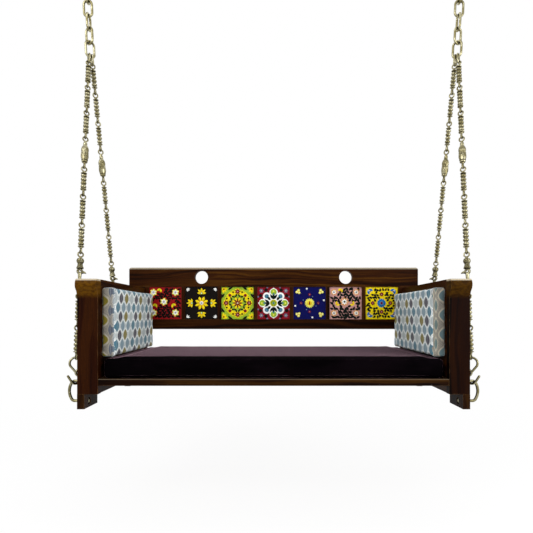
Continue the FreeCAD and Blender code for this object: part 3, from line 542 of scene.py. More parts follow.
def wood(grain, gold_share, name, top=None, glint=None, shade=1.0):
    """Stained hardwood with its grain along one of the axes. Where a top level is given, a painted highlight
    runs along the edge there, so many edge widths wide and so strong. A lower shade is a darker board; on the
    right front post it is painted shade, a darker copy of the left post's colours."""
    post = name.startswith("front post")

    def build(n, place):
        values = look().wood
        turned = n.add("ShaderNodeMapping", {"Vector": place, "Rotation": GRAIN_TURNS[grain]}).outputs[0]
        tones = (values.dark, values.body, values.gold)
        if post:
            tones = (values.post_dark, values.post_body, values.post_gold)
        dark, body, gold = ([channel * shade for channel in tone] for tone in tones)
        figure = use_group(n, grain_group(), {
            "Vector": turned, "Dark": dark, "Body": body, "Gold": gold, "Gold Share": gold_share})
        tone = figure["Color"]
        level = n.split(place)[2]
        if post:
            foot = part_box("arm_rail_left")[0].z - values.nose_drop
            # Painted shade in the cove: over its lowest part the nose colour fades into the darker post
            # colour
            above = n.ramp(level, foot, foot + values.nose_fade)
            rings = n.ramp(n.noise(n.scaled(place, (90.0, 20.0, 160.0)), 1.0, 3.0), 0.35, 0.7, 0.0, 0.6)
            nose = [channel * shade for channel in values.nose]
            tone = n.mix(above, tone, n.mix(rings, nose, body))
        # Lighter along the edges: partly wear, partly a painted highlight
        worn = use_group(n, wear_group(), {"Vector": place, "Reach": values.edge})["Mask"]
        tone = n.mix(n.times(worn, 0.35), tone, values.worn)
        # Painted highlight: a light line along the top edge, on faces that do not face straight up
        if top is not None:
            wide, strength = glint
            shine = n.ramp(level, top - wide * values.edge, top - 0.4 * wide * values.edge, 0.0, strength)
            facing = n.split(n.add("ShaderNodeTexCoord").outputs["Normal"])[2]
            shine = n.times(shine, n.ramp(facing, 1.0, 0.90))
            tone = n.mix(shine, tone, values.glint)
        rough = n.minus(figure["Roughness"], n.times(worn, 0.08))
        return {"Base Color": tone, "Roughness": rough, "Height": figure["Height"]}
    return finish("Wood " + name, "wood", build)


def plywood(through):
    """Plywood whose layers follow each other along the given axis."""
    def build(n, place):
        values = look().wood
        through_board = n.split(place)["XYZ".index(through.upper())]
        waves = n.math("SINE", n.times(through_board, PLY_WAVES))
        shaded = [channel * 0.62 for channel in values.ply]
        figure = use_group(n, grain_group(), {
            "Vector": place, "Dark": shaded, "Body": values.ply, "Gold": values.worn, "Gold Share": 0.3})
        plies = n.ramp(waves, -0.4, 0.4, 0.0, 0.25)
        tone = n.mix(plies, figure["Color"], values.dark)
        return {"Base Color": tone, "Roughness": n.plus(figure["Roughness"], 0.2), "Height": figure["Height"]}
    return finish("Plywood " + through, "plywood", build)


def metal(name, kind, body, bright):
    """Aged metal: the colour of its body and of where it is rubbed."""
    def build(n, place):
        values = look().brass
        aged = use_group(n, tarnish_group(), {
            "Vector": place, "Body": body, "Bright": bright, "Patina": values.patina, "Reach": values.reach})
        return {"Base Color": aged["Color"], "Roughness": aged["Roughness"], "Metallic": aged["Metallic"],
                "Height": aged["Height"]}
    return finish(name, kind, build)


def brass(name="Aged brass", tone_share=1.0):
    """Aged brass; a lower tone share is a darker, less handled casting."""
    values = look().brass
    body, bright = ([channel * tone_share for channel in tone] for tone in (values.body, values.bright))
    return metal(name, "brass", body, bright)


def plated_steel():
    steel = look().brass.steel
    return metal("Plated steel", "steel", steel, steel)


# Names and tone shares of the darker castings
HANDLED = ("Handled brass", 0.82)
# The nuts and washers are near black
BLACKENED = ("Blackened nuts", 0.1)


def glaze(key):
    """The glaze of one of the tiles' colours, by its name in the settings."""
    def build(n, place):
        poured = use_group(n, glaze_group(), {"Vector": place, "Color": getattr(look().glaze, key)})
        return {"Base Color": poured["Color"], "Roughness": poured["Roughness"], "Height": poured["Height"]}
    return finish("Glaze " + key.replace("_", " "), "glaze", build)


def pad_cloth():
    """The woven leaf cloth, a little soiled; its end leaves differ on the left and the right pad."""
    def build(n, place):
        values = look().cloth
        flat = n.add("ShaderNodeUVMap", uv_map="Cloth").outputs[0]
        right = n.ramp(n.split(place)[0], -0.1, 0.1)
        keys = LEAF_SIZES + LEAF_COLOURS
        settings = {key: getattr(values, key.lower().replace(" ", "_")) for key in keys}
        pattern = use_group(n, leaf_pattern_group(), {"Vector": flat, "Right": right, **settings})
        threads = use_group(n, weave_group(), {"Vector": flat, "Thread": values.thread})
        soiled = n.ramp(n.noise(place, 9.0, 4.0), 0.3, 0.75, 1.0, 0.86)
        # Painted shade in the dips of the weave, times random soiling
        shade = n.times(threads["Shade"], soiled)
        tone = n.mix(1.0, pattern["Color"], n.join(shade, shade, shade), "MULTIPLY")
        rough = n.ramp(pattern["Raised"], 0.0, 1.0, 0.82, 0.66)
        height = n.plus(n.times(threads["Height"], 0.4), pattern["Raised"])
        return {"Base Color": tone, "Roughness": rough, "Height": height}
    return finish("Leaf cloth", "cloth", build, {"Sheen Weight": 0.15})


def velvet():
    """Brushed velvet whose pile catches light at a low angle."""
    values = look().cushion

    def build(n, place):
        strokes = n.noise(n.scaled(place, (3.0, 9.0, 9.0)), 1.0, 4.0, 0.62)
        pile = n.noise(place, 1900.0, 2.0)
        tone = n.mix(n.ramp(strokes, 0.40, 0.66), values.pile, values.nap)
        tone = n.mix(n.ramp(pile, 0.3, 0.7, 0.0, 0.3), tone, values.pile)
        height = n.plus(n.times(pile, 0.5), n.times(strokes, 0.8))
        return {"Base Color": tone, "Roughness": n.ramp(strokes, 0.3, 0.7, 0.72, 0.88), "Height": height}
    sheen = {"Sheen Weight": 1.0, "Sheen Roughness": 0.12, "Sheen Tint": values.sheen}
    return finish("Velvet", "velvet", build, sheen)


# Building shapes
class Shape:
    """Gathers closed shells, each with a material number, and turns them into one object."""

    def __init__(self):
        self.points, self.faces, self.numbers, self.total = [], [], [], 0

    def add(self, points, faces, number=0, matrix=None):
        points = np.asarray(points, float).reshape(-1, 3)
        if matrix is not None:
            grid = np.array(matrix)
            points = points @ grid[:3, :3].T + grid[:3, 3]
        self.points.append(points)
        self.faces += [tuple(index + self.total for index in face) for face in faces]
        self.numbers += [number] * len(faces)
        self.total += len(points)

    def mesh(self, name, materials=()):
        mesh = bpy.data.meshes.new(name)
        mesh.from_pydata(np.concatenate(self.points).tolist(), [], self.faces)
        for material in materials:
            mesh.materials.append(material)
        mesh.polygons.foreach_set("material_index", self.numbers)
        mesh.polygons.foreach_set("use_smooth", [True] * len(self.faces))
        mesh.update()
        return mesh


def mesh_parts(mesh):
    points = np.empty(len(mesh.vertices) * 3)
    mesh.vertices.foreach_get("co", points)
    return points.reshape(-1, 3), [tuple(polygon.vertices) for polygon in mesh.polygons]


def show(name, mesh):
    piece = bpy.data.objects.new(name, mesh)
    bpy.context.scene.collection.objects.link(piece)
    return piece


def sharpen(mesh, degrees=38.0):
    """Keeps real corners crisp in a smooth mesh."""
    mesh.set_sharp_from_angle(angle=math.radians(degrees))


def grid_faces(rows, columns, close_rows=False):
    """Quads over rows of points; each row is a closed loop of so many columns."""
    faces = []
    for row in range(rows if close_rows else rows - 1):
        after = (row + 1) % rows
        for column in range(columns):
            beside = (column + 1) % columns
            faces.append((row * columns + column, row * columns + beside,
                          after * columns + beside, after * columns + column))
    return faces


def lathe(profile, around=40, relief=None):
    """A closed turned body about Z. profile is (radius, z) from the bottom up, and relief(angle, z)
    gives what is added to the radius there."""
    radii = np.array([entry[0] for entry in profile])
    levels = np.array([entry[1] for entry in profile])
    angles = np.arange(around) * FULL_TURN / around
    radius = np.repeat(radii[:, None], around, axis=1)
    if relief is not None:
        radius = radius + relief(angles[None, :], levels[:, None])
    points = np.stack([radius * np.cos(angles), radius * np.sin(angles),
                       np.repeat(levels[:, None], around, axis=1)], axis=-1).reshape(-1, 3)
    ends = [(0.0, 0.0, levels[0]), (0.0, 0.0, levels[-1])]
    faces = grid_faces(len(profile), around)
    first = len(points)
    last = (len(profile) - 1) * around
    for column in range(around):
        beside = (column + 1) % around
        faces.append((first, beside, column))
        faces.append((first + 1, last + column, last + beside))
    return np.concatenate([points, ends]), faces


def torus(centre, normal, radius, wire, around=28, sides=12):
    axis = Vector(normal).normalized()
    side = axis.orthogonal().normalized()
    over = axis.cross(side)
    points = []
    for step in range(around):
        angle = FULL_TURN * step / around
        out = side * math.cos(angle) + over * math.sin(angle)
        for turn in range(sides):
            tilt = FULL_TURN * turn / sides
            offset = out * (radius + wire / 2 * math.cos(tilt)) + axis * (wire / 2 * math.sin(tilt))
            points.append(Vector(centre) + offset)
    return points, [face[::-1] for face in grid_faces(around, sides, True)]


def eased_steps(start, end, steps):
    return [start + (end - start) * step / steps for step in range(steps + 1)]


# Repeating pieces
def repeat_tree(name, inputs, build):
    """A geometry tree that ends in Realize Instances and Set Material."""
    if name not in GROUPS:
        tree = bpy.data.node_groups.new(name, "GeometryNodeTree")
        sockets = {"Piece": "Geometry", **inputs, "Material": "Material"}
        for socket, kind in sockets.items():
            tree.interface.new_socket(socket, in_out="INPUT", socket_type="NodeSocket" + kind)
        tree.interface.new_socket("Result", in_out="OUTPUT", socket_type="NodeSocketGeometry")
        source = tree.nodes.new("NodeGroupInput").outputs
        target = tree.nodes.new("NodeGroupOutput").inputs
        nodes = Nodes(tree)
        instances = build(nodes, source)
        solid = nodes.add("GeometryNodeRealizeInstances", {0: instances}).outputs[0]
        done = nodes.add("GeometryNodeSetMaterial", {"Geometry": solid, "Material": source["Material"]})
        nodes.feed(target["Result"], done.outputs[0])
        GROUPS[name] = tree
    return GROUPS[name]


def row_tree():
    """Copies of a piece in a straight row."""
    def build(n, source):
        line = n.add("GeometryNodeMeshLine", {"Count": source["Count"], "Start Location": source["Start"],
                                              "Offset": source["Step"]}).outputs[0]
        return n.add("GeometryNodeInstanceOnPoints", {"Points": line, "Instance": source["Piece"],
                                                      "Rotation": source["Turn"]}).outputs[0]
    return repeat_tree("Row", {"Count": "Int", "Start": "Vector", "Step": "Vector", "Turn": "Vector"}, build)


def ring_tree():
    """Copies of a piece round the Z axis, each turned outwards."""
    def build(n, source):
        circle = n.add("GeometryNodeMeshCircle", {"Vertices": source["Count"], "Radius": source["Radius"]})
        number = n.add("GeometryNodeInputIndex").outputs[0]
        angle = n.times(number, n.math("DIVIDE", FULL_TURN, source["Count"]))
        return n.add("GeometryNodeInstanceOnPoints", {
            "Points": circle.outputs[0], "Instance": source["Piece"],
            "Rotation": n.join(0.0, 0.0, angle)}).outputs[0]
    return repeat_tree("Ring", {"Count": "Int", "Radius": "Float"}, build)


def repeated(mesh, tree, values, material):
    """Runs a geometry tree on a mesh and returns the points and faces of the result."""
    maker = show("maker", mesh)
    modifier = maker.modifiers.new("Repeat", "NODES")
    modifier.node_group = tree
    for item in tree.interface.items_tree:
        if item.item_type == "SOCKET" and item.in_out == "INPUT":
            if item.name in values:
                modifier[item.identifier] = values[item.name]
            elif item.name == "Material":
                modifier[item.identifier] = material
    evaluated = maker.evaluated_get(bpy.context.evaluated_depsgraph_get())
    result = bpy.data.meshes.new_from_object(evaluated)
    parts = mesh_parts(result)
    bpy.data.objects.remove(maker)
    bpy.data.meshes.remove(result)
    return parts


# Wood and metal of the CAD pieces. Boards by the axis of their grain
WOOD_NODES = {
    "x": ["backrest_top_plank", "backrest_bottom_rail", "seat_rear_rail", "seat_front_rail"],
    "y": ["arm_rail", "side_rail", "side_panel"],
    "z": ["front_post", "rear_post", "foot_boards", "backrest_end_stiles", "backrest_muntins"],
}
# Share of golden streaks, painted highlight along the top edge (width in edge widths, strength) and shade of
# some boards
GOLD_SHARES = {"seat_front_rail": 0.95, "front_post": 0.35, "arm_rail": 0.45, "backrest_top_plank": 0.7}
USUAL_GOLD = 0.45
GLINTS = {"front_post": (5.0, 0.85), "seat_front_rail": (2.0, 0.12), "backrest_top_plank": (6.0, 0.62)}
SHADES = {"seat_front_rail": 0.36, "foot_boards": 0.4}
# Metal pieces by the start of their names
HANDLED_CASTINGS = ("hooks", "handles", "bead_rods", "bud", "bird_link")
CASTINGS = ("chain_links", "top_link", "gather_link", "gather_rings", "ceiling_eyes", "ceiling_plates")


def dress(node, material):
    for material_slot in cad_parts[node].material_slots:
        material_slot.material = material


class SWING_OT_wood(bpy.types.Operator):
    """Gives each wooden board grain along its length, and plywood to the seat board"""
    bl_idname = "swing.wood"
    bl_label = "Wood"

    def execute(self, context):
        for grain, starts in WOOD_NODES.items():
            for start in starts:
                gold_share = GOLD_SHARES.get(start, USUAL_GOLD)
                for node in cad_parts:
                    if node.startswith(start):
                        name = start.replace("_", " ")
                        shade = SHADES.get(start, 1.0)
                        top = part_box(node)[1].z if start in GLINTS else None
                        # Painted shade: the right front post gets a darker copy of the post colours
                        if node == "front_post_right":
                            name, shade = "front post right", look().wood.right_shade
                        dress(node, wood(grain, gold_share, name, top, GLINTS.get(start), shade))
        dress("seat_board", plywood("z"))
        dress("seat_battens", plywood("z"))
        dress("backrest_backing_board", plywood("y"))
        return {"FINISHED"}


class SWING_OT_metal(bpy.types.Operator):
    """Gives the chains, hooks, handles and fasteners their metal"""
    bl_idname = "swing.metal"
    bl_label = "Metal"

    def execute(self, context):
        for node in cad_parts:
            if node.startswith(CASTINGS):
                dress(node, brass())
            elif node.startswith(HANDLED_CASTINGS):
                dress(node, brass(*HANDLED))
            elif node in ("handle_nuts", "handle_washers"):
                dress(node, brass(*BLACKENED))
            elif node == "backrest_screws":
                dress(node, plated_steel())
        return {"FINISHED"}


# Bead legs
# Widths of a neck as shares of the neck width, from its body to its eye
NECK_TAPER = (1.0, 0.84, 0.62)
# Step between two profiles of one casting, so that none of them meets
SEAM = 0.0004
# Rods of a leg's three runs from the top down, and the eyes linked with other pieces above and below
RUNS = ((3, 0, 1), (3, 1, 1), (2, 1, 0))
# Levels of the bud's neck, waist and rim, as shares of its height from the top
BUD_LEVELS = (0.16, 0.52, 0.90)
# Width of the bird's tail as a share of the neck width, and height of a row of scales on its bell
TAIL_SHARE = 0.29
SCALE_ROW = 0.0052
# Length, width and thickness of a plume, its distance from the eye and the plumes' directions in degrees
PLUME = (0.0050, 0.0036, 0.0012)
PLUME_RING = 0.0066
PLUME_TURNS = (150, 178, 206, 234)


def leg_frame(row, side):
    """Unit vectors of a leg: up along it, and across, from its rods' place and the last link's turn."""
    rods, _ = mesh_parts(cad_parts[f"bead_rods_{row}_{side}"].data)
    middle = rods.mean(axis=0)
    spread = np.linalg.svd(rods - middle, full_matrices=False)[2][0]
    up = Vector(spread if spread[2] > 0 else -spread)
    sign = SIDES[side]
    turn = -sign * look().legs.gather_turn
    wire_line = Vector((math.cos(turn), math.sin(turn), 0.0)) * -sign
    across = (wire_line - up * wire_line.dot(up)).normalized()
    return up, across, Vector(middle)


def leg_matrix(origin, up, across):
    side = across.cross(up)
    matrix = Matrix((side, across, up)).transposed().to_4x4()
    matrix.translation = origin
    return matrix


def along_range(node, up, middle):
    """Lowest and highest reach of a CAD node along a leg, measured from the leg's middle."""
    points, _ = mesh_parts(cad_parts[node].data)
    reach = (points - np.array(middle)) @ np.array(up)
    return reach.min(), reach.max()


def eye_pieces(shape, sizes, span):
    """The two eyes and the necks of a leg piece that hangs from the origin down to -span."""
    radius = (sizes.eye_bore + sizes.eye_wire) / 2
    shape.add(*torus((0, 0, 0), (1, 0, 0), radius, sizes.eye_wire))
    shape.add(*torus((0, 0, -span), (0, 1, 0), radius, sizes.eye_wire))
    top, bottom = body_ends(sizes, span)
    neck = sizes.neck_width / 2
    upper, lower = (NECK_TAPER, top - neck, -radius), (NECK_TAPER[::-1], radius - span, bottom + neck)
    for taper, low, high in (upper, lower):
        levels = (low, (low + high) / 2, high)
        shape.add(*lathe([(neck * width, level) for width, level in zip(taper, levels)], 20))


def body_ends(sizes, span):
    """Top and bottom level of a leg piece's body, between its two necks."""
    end = (sizes.eye_bore + sizes.eye_wire) / 2 + sizes.eye_wire / 2 + sizes.neck
    return -end, end - span


def rounded_disc(half, low, high, steps=4, bulge=0.12):
    """Profile of a collar: a disc whose rim is rounded."""
    profile = []
    for step in range(steps + 1):
        angle = math.pi * (step / steps - 0.5)
        level = (low + high) / 2 + (high - low) / 2 * math.sin(angle)
        profile.append((half * (1 - bulge * (1 - math.cos(angle))), level))
    return profile


def rod_shape(sizes, span):
    """A rod of round beads between flared collars."""
    shape = Shape()
    eye_pieces(shape, sizes, span)
    top, bottom = body_ends(sizes, span)
    thick = sizes.collar_thick
    pitch = (top - bottom - 2 * thick) / sizes.bead_count
    groove = sizes.groove_width / 2
    rim, seat = thick * 0.62, thick * 0.7
    steps = 8
    profile = rounded_disc(sizes.collar_width / 2, bottom, bottom + rim)
    profile += [(groove, bottom + seat)]
    level = bottom + thick
    for _ in range(sizes.bead_count):
        profile.append((groove, level))
        for part in range(steps + 1):
            swell = (sizes.bead_width / 2 - groove) * math.sin(math.pi * part / steps) ** 0.4
            profile.append((groove + swell, level + pitch * (0.14 + 0.72 * part / steps)))
        level += pitch
        profile.append((groove, level))
    profile += [(groove, top - seat)]
    profile += rounded_disc(sizes.collar_width / 2, top - rim, top)
    shape.add(*lathe(profile, 28))
    return shape


def bud_shape(sizes, span):
    """A fluted barrel with a band of pointed leaves about its waist, on a flared collar."""
    shape = Shape()
    eye_pieces(shape, sizes, span)
    top, bottom = body_ends(sizes, span)
    tall = top - bottom
    half = sizes.bud_width / 2
    waist = sizes.bud_waist / 2
    neck_level, waist_level, rim_level = (top - part * tall for part in BUD_LEVELS)
    relief = sizes.relief
    band_half = 0.001
    profile = rounded_disc(sizes.collar_width / 2, bottom, rim_level)
    for part in eased_steps(0.0, 1.0, 16):
        profile.append((waist + (half - waist) * math.sin(math.pi * part) ** 0.8,
                        rim_level + SEAM + (waist_level - band_half - rim_level) * part))
    shoulder = sizes.neck_width / 2 + band_half
    for part in eased_steps(0.0, 1.0, 16):
        base = waist + (shoulder - waist) * part
        profile.append((base + (half - (waist + shoulder) / 2) * math.sin(math.pi * part) ** 0.8,
                        waist_level + band_half + (neck_level - waist_level - band_half) * part))
    profile += rounded_disc(sizes.bead_width / 2 * 0.72, neck_level + SEAM, top)

    def carved(angle, level):
        leaf = np.abs((angle * 8 / FULL_TURN) % 1.0 - 0.5) * 2
        upper = (level > waist_level) & (level < neck_level)
        lower = (level < waist_level) & (level > rim_level)
        rise = np.clip((level - waist_level) / (neck_level - waist_level), 0, 1)
        fall = np.clip((waist_level - level) / (waist_level - rim_level), 0, 1)
        flutes = np.abs(np.sin(angle * 12)) * relief * np.sin(math.pi * rise)
        points = np.where(leaf < 1 - fall * 1.25, relief * 1.6, 0.0)
        veins = np.where(np.abs(leaf) < 0.12, -relief * 0.7, 0.0)
        band = np.where(np.abs(level - waist_level) < tall * 0.03, relief, 0.0)
        return upper * flutes + lower * (points + veins * (points > 0)) + band

    shape.add(*lathe(profile, 96, carved))
    return shape


def spline(keys, steps):
    """Smooth run through rows of numbers."""
    keys = np.array(keys, float)
    padded = np.vstack([2 * keys[0] - keys[1], keys, 2 * keys[-1] - keys[-2]])
    rows = []
    for number in range(1, len(padded) - 2):
        p0, p1, p2, p3 = padded[number - 1:number + 3]
        for step in range(steps):
            t = step / steps
            rows.append(0.5 * (2 * p1 + (p2 - p0) * t + (2 * p0 - 5 * p1 + 4 * p2 - p3) * t * t
                               + (3 * p1 - p0 - 3 * p2 + p3) * t ** 3))
    rows.append(keys[-1])
    return rows


def bird_head(sizes, level):
    """A rounded head from the nape to a hooked beak; bird_shape cuts its eye hole."""
    back = sizes.head_width / 2
    thick = sizes.head_thick / 2
    reach = sizes.beak_reach
    # Place along X, drop and height as shares of half the head, and width as a share of half the thickness
    sections = [
        (-back * 0.97, 0.0, 0.12, 0.25), (-back * 0.86, 0.0, 0.48, 0.60),
        (-back * 0.55, 0.0, 0.82, 0.88), (-back * 0.10, 0.0, 0.98, 1.00),
        (back * 0.32, -0.03, 0.90, 0.98), (back * 0.72, -0.10, 0.66, 0.78),
        (back * 1.02, -0.18, 0.44, 0.56), (reach * 0.78, -0.26, 0.30, 0.40),
        (reach * 0.92, -0.40, 0.18, 0.26), (reach * 0.985, -0.58, 0.05, 0.10),
    ]
    sides = 24
    points = []
    rows = spline(sections, 4)
    for x, drop, tall, wide in rows:
        for step in range(sides):
            angle = FULL_TURN * step / sides
            points.append((x, thick * wide * math.cos(angle), level + back * (drop + tall * math.sin(angle))))
    faces = grid_faces(len(rows), sides)
    faces.append(tuple(range(sides))[::-1])
    faces.append(tuple((len(rows) - 1) * sides + step for step in range(sides)))
    return points, faces


def cut_hole(parts, centre, radius, reach):
    """Cuts a round hole along Y through a closed shell."""
    shell = Shape()
    shell.add(*parts)
    drill = Shape()
    drill.add(*lathe([(radius, -reach), (radius, reach)], 28), 0,
              Matrix.Translation(centre) @ Matrix.Rotation(math.pi / 2, 4, "X"))
    body = show("head", shell.mesh("head"))
    cutter = show("drill", drill.mesh("drill"))
    modifier = body.modifiers.new("Hole", "BOOLEAN")
    modifier.operation = "DIFFERENCE"
    modifier.solver = "EXACT"
    modifier.object = cutter
    evaluated = body.evaluated_get(bpy.context.evaluated_depsgraph_get())
    result = bpy.data.meshes.new_from_object(evaluated)
    made = mesh_parts(result)
    for piece in (body, cutter):
        bpy.data.objects.remove(piece)
    return made


def feather(long, wide, thick):
    """A small pointed lobe along X, domed and closed."""
    shape = Shape()
    shape.add(*blade_parts([(long * t, 0.0) for t in (0.0, 0.25, 0.5, 0.75, 1.0)],
                           [wide * s / 2 for s in (0.35, 0.85, 1.0, 0.7, 0.06)], thick))
    return shape


def bird_shape(sizes, span):
    """A carved bell over a bird's head that looks to +Y, with a ringed eye hole and a crest."""
    shape = Shape()
    eye_pieces(shape, sizes, span)
    top, _ = body_ends(sizes, span)
    rim = sizes.collar_thick / 2
    half, waist = sizes.bell_width / 2, sizes.bell_waist / 2
    waist_level = top - sizes.bell_length / 2
    flare_level = top - sizes.bell_length + rim
    relief = sizes.relief
    tail = sizes.neck_width * TAIL_SHARE
    neck_level = flare_level - 2 * rim
    crown = sizes.collar_width / 2
    bare_edge, throat_thick, stem_lap, ring_wire = 0.001, 0.0026, 0.002, 0.0018
    profile = [(tail, neck_level)]
    profile += rounded_disc(half, flare_level - rim, flare_level)
    for part in eased_steps(0.0, 1.0, 20):
        profile.append((half + (waist - half) * math.sin(math.pi * part / 2) ** 0.7,
                        flare_level + SEAM + (waist_level - flare_level) * part))
    for part in eased_steps(0.05, 1.0, 18):
        swell = math.sin(math.pi * part) ** 0.9 * (half - (waist + crown) / 2)
        profile.append((waist + (crown - waist) * part + swell * 0.8,
                        waist_level + (top - rim - waist_level) * part))
    profile += rounded_disc(crown, top - rim + SEAM / 2, top, 3)

    def carved(angle, level):
        row = (level - flare_level) / SCALE_ROW
        number = np.floor(row)
        cell = (angle * 10 / FULL_TURN + 0.5 * (number % 2)) % 1.0 - 0.5
        rise = row - number
        scale = (np.abs(cell) * 2) ** 2 + rise ** 2 < 0.9
        inside = (level > flare_level + 2 * SEAM) & (level < top - rim - bare_edge)
        vein = relief * 0.5 * (np.abs(cell) < 0.07) * scale
        return inside * (np.where(scale, relief, -relief * 0.4) - vein)

    shape.add(*lathe(profile, 100, carved))
    head_radius = sizes.head_width / 2
    level = neck_level - head_radius + sizes.neck
    hole = Vector((0.0, 0.0, level))
    inwards = Matrix.Rotation(math.pi / 2, 4, "Z")
    shape.add(*cut_hole(bird_head(sizes, level), hole, sizes.bird_eye_bore / 2, sizes.head_thick), 0, inwards)
    ring_radius = sizes.bird_eye_bore / 2 + ring_wire / 2
    for face in (-1, 1):
        centre = hole + Vector((0, face * sizes.head_thick * 0.46, 0))
        shape.add(*torus(centre, (0, 1, 0), ring_radius, ring_wire, 24, 8), 0, inwards)
    shape.add(*lathe(rounded_disc(tail * 1.9, neck_level - throat_thick, neck_level + SEAM), 28))
    throat = level - head_radius
    end = sizes.eye_bore / 2 + sizes.eye_wire - span
    stem = [(tail, end - stem_lap), (tail * 1.15, (end + throat) / 2), (tail * 1.7, throat + sizes.neck)]
    shape.add(*lathe(stem, 24))
    plume, faces = mesh_parts(feather(*PLUME).mesh("plume"))
    for face in (-1, 1):
        for angle in map(math.radians, PLUME_TURNS):
            root = Vector((PLUME_RING * math.cos(angle), face * sizes.head_thick * 0.40,
                           level + PLUME_RING * math.sin(angle)))
            matrix = inwards @ Matrix.Translation(root) @ Matrix.Rotation(-angle, 4, "Y")
            matrix = matrix @ Matrix.Rotation(-face * math.pi / 2, 4, "X") @ Matrix.Rotation(0.16, 4, "Y")
            shape.add(plume, faces, 0, matrix)
    return shape


class SWING_OT_bead_rods(bpy.types.Operator):
    """Hangs the turned bead rods of the four legs"""
    bl_idname = "swing.bead_rods"
    bl_label = "Bead rods"

    def execute(self, context):
        sizes = look().legs
        material = brass(*HANDLED)
        reach = sizes.eye_bore / 2 + sizes.eye_wire
        lap = sizes.eye_bore - sizes.eye_play
        for row, side in LEGS:
            up, across, middle = leg_frame(row, side)
            node = f"bead_rods_{row}_{side}"
            bud_low, bud_high = along_range(f"bud_{row}_{side}", up, middle)
            bird_low, bird_high = along_range(f"bird_link_{row}_{side}", up, middle)
            low, high = along_range(node, up, middle)
            ends = ((high - reach, bud_high - reach), (bud_low + reach, bird_high - reach),
                    (bird_low + reach, low + reach))
            shape = Shape()
            for (number, above, below), (start, bottom) in zip(RUNS, ends):
                first = start - above * lap
                span = (first - bottom - (number - 1 + below) * lap) / number
                one = rod_shape(sizes, span).mesh("rod")
                matrix = leg_matrix(middle + up * first, up, across)
                values = {"Count": number, "Start": (0.0, 0.0, 0.0), "Step": (0.0, 0.0, -(span + lap)),
                          "Turn": (0.0, 0.0, 0.0)}
                shape.add(*repeated(one, row_tree(), values, material), 0, matrix)
            mesh = shape.mesh(f"beads_{row}_{side}", [material])
            sharpen(mesh)
            piece = show(mesh.name, mesh)
            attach(piece, "seat")
            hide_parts(node)
        return {"FINISHED"}


def hang_castings(node_start, piece_start, shaped):
    """Makes one turned casting for each leg in the place of its CAD node."""
    sizes = look().legs
    material = brass(*HANDLED)
    reach = sizes.eye_bore / 2 + sizes.eye_wire
    for row, side in LEGS:
        up, across, middle = leg_frame(row, side)
        node = f"{node_start}_{row}_{side}"
        low, high = along_range(node, up, middle)
        made = shaped(sizes, high - low - 2 * reach)
        place = leg_matrix(middle + up * (high - reach), up, across)
        shape = Shape()
        shape.add(np.concatenate(made.points), made.faces, 0, place)
        mesh = shape.mesh(f"{piece_start}_{row}_{side}", [material])
        sharpen(mesh)
        piece = show(mesh.name, mesh)
        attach(piece, "seat")
        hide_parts(node)


class SWING_OT_buds(bpy.types.Operator):
    """Hangs the carved buds of the four legs"""
    bl_idname = "swing.buds"
    bl_label = "Buds"

    def execute(self, context):
        hang_castings("bud", "carved_bud", bud_shape)
        return {"FINISHED"}


class SWING_OT_birds(bpy.types.Operator):
    """Hangs the bell links with their bird's heads"""
    bl_idname = "swing.birds"
    bl_label = "Birds"

    def execute(self, context):
        hang_castings("bird_link", "carved_bird", bird_shape)
        return {"FINISHED"}


# Cushion and pads
# Cover cloth: how the simulation treats it, and how many frames it runs
COVER = {"use_pressure": True, "uniform_pressure_force": 4.0, "quality": 4, "tension_stiffness": 15.0,
         "compression_stiffness": 15.0, "bending_stiffness": 0.8}
COVER_FRAMES = 20


def rounded_block(low, high, corner, cell):
    """A box with round edges, remeshed in even cells so that cloth can swell."""
    low, high = np.array(low), np.array(high)
    shape = Shape()
    corners = [(x, y, z) for x in (low[0], high[0]) for y in (low[1], high[1]) for z in (low[2], high[2])]
    faces = [(0, 1, 3, 2), (4, 6, 7, 5), (0, 4, 5, 1), (2, 3, 7, 6), (0, 2, 6, 4), (1, 5, 7, 3)]
    shape.add(corners, faces)
    block = show("block", shape.mesh("block"))
    bevel = block.modifiers.new("Round", "BEVEL")
    bevel.width, bevel.segments = corner, 4
    remesh = block.modifiers.new("Even", "REMESH")
    remesh.mode, remesh.voxel_size = "VOXEL", cell
    smooth = block.modifiers.new("Smooth", "SMOOTH")
    smooth.iterations = 4
    mesh = bpy.data.meshes.new_from_object(block.evaluated_get(bpy.context.evaluated_depsgraph_get()))
    bpy.data.objects.remove(block)
    return mesh


def swollen(mesh, cap):
    """Cloth simulation: the filling pushes the cover out, by at most cap."""
    scene = bpy.context.scene
    before, _ = mesh_parts(mesh)
    cover = show("cover", mesh)
    cloth = cover.modifiers.new("Cloth", "CLOTH")
    for key, value in COVER.items():
        setattr(cloth.settings, key, value)
    cloth.settings.effector_weights.gravity = 0.0
    cloth.point_cache.frame_start = 1
    cloth.point_cache.frame_end = COVER_FRAMES
    for number in range(1, COVER_FRAMES + 1):
        scene.frame_set(number)
    evaluated = cover.evaluated_get(bpy.context.evaluated_depsgraph_get())
    after = np.empty(len(before) * 3)
    evaluated.data.vertices.foreach_get("co", after)
    after = after.reshape(-1, 3)
    scene.frame_set(1)
    bpy.data.objects.remove(cover)
    move = after - before
    far = np.linalg.norm(move, axis=1, keepdims=True)
    return before + move * np.minimum(1.0, cap / np.maximum(far, 1e-9))


def subdivided(mesh):
    piece = show("finer", mesh)
    finer = piece.modifiers.new("Finer", "SUBSURF")
    finer.levels = finer.render_levels = 1
    result = bpy.data.meshes.new_from_object(piece.evaluated_get(bpy.context.evaluated_depsgraph_get()))
    bpy.data.objects.remove(piece)
    return result


def set_points(mesh, points):
    mesh.vertices.foreach_set("co", np.asarray(points, np.float32).ravel())
    mesh.update()


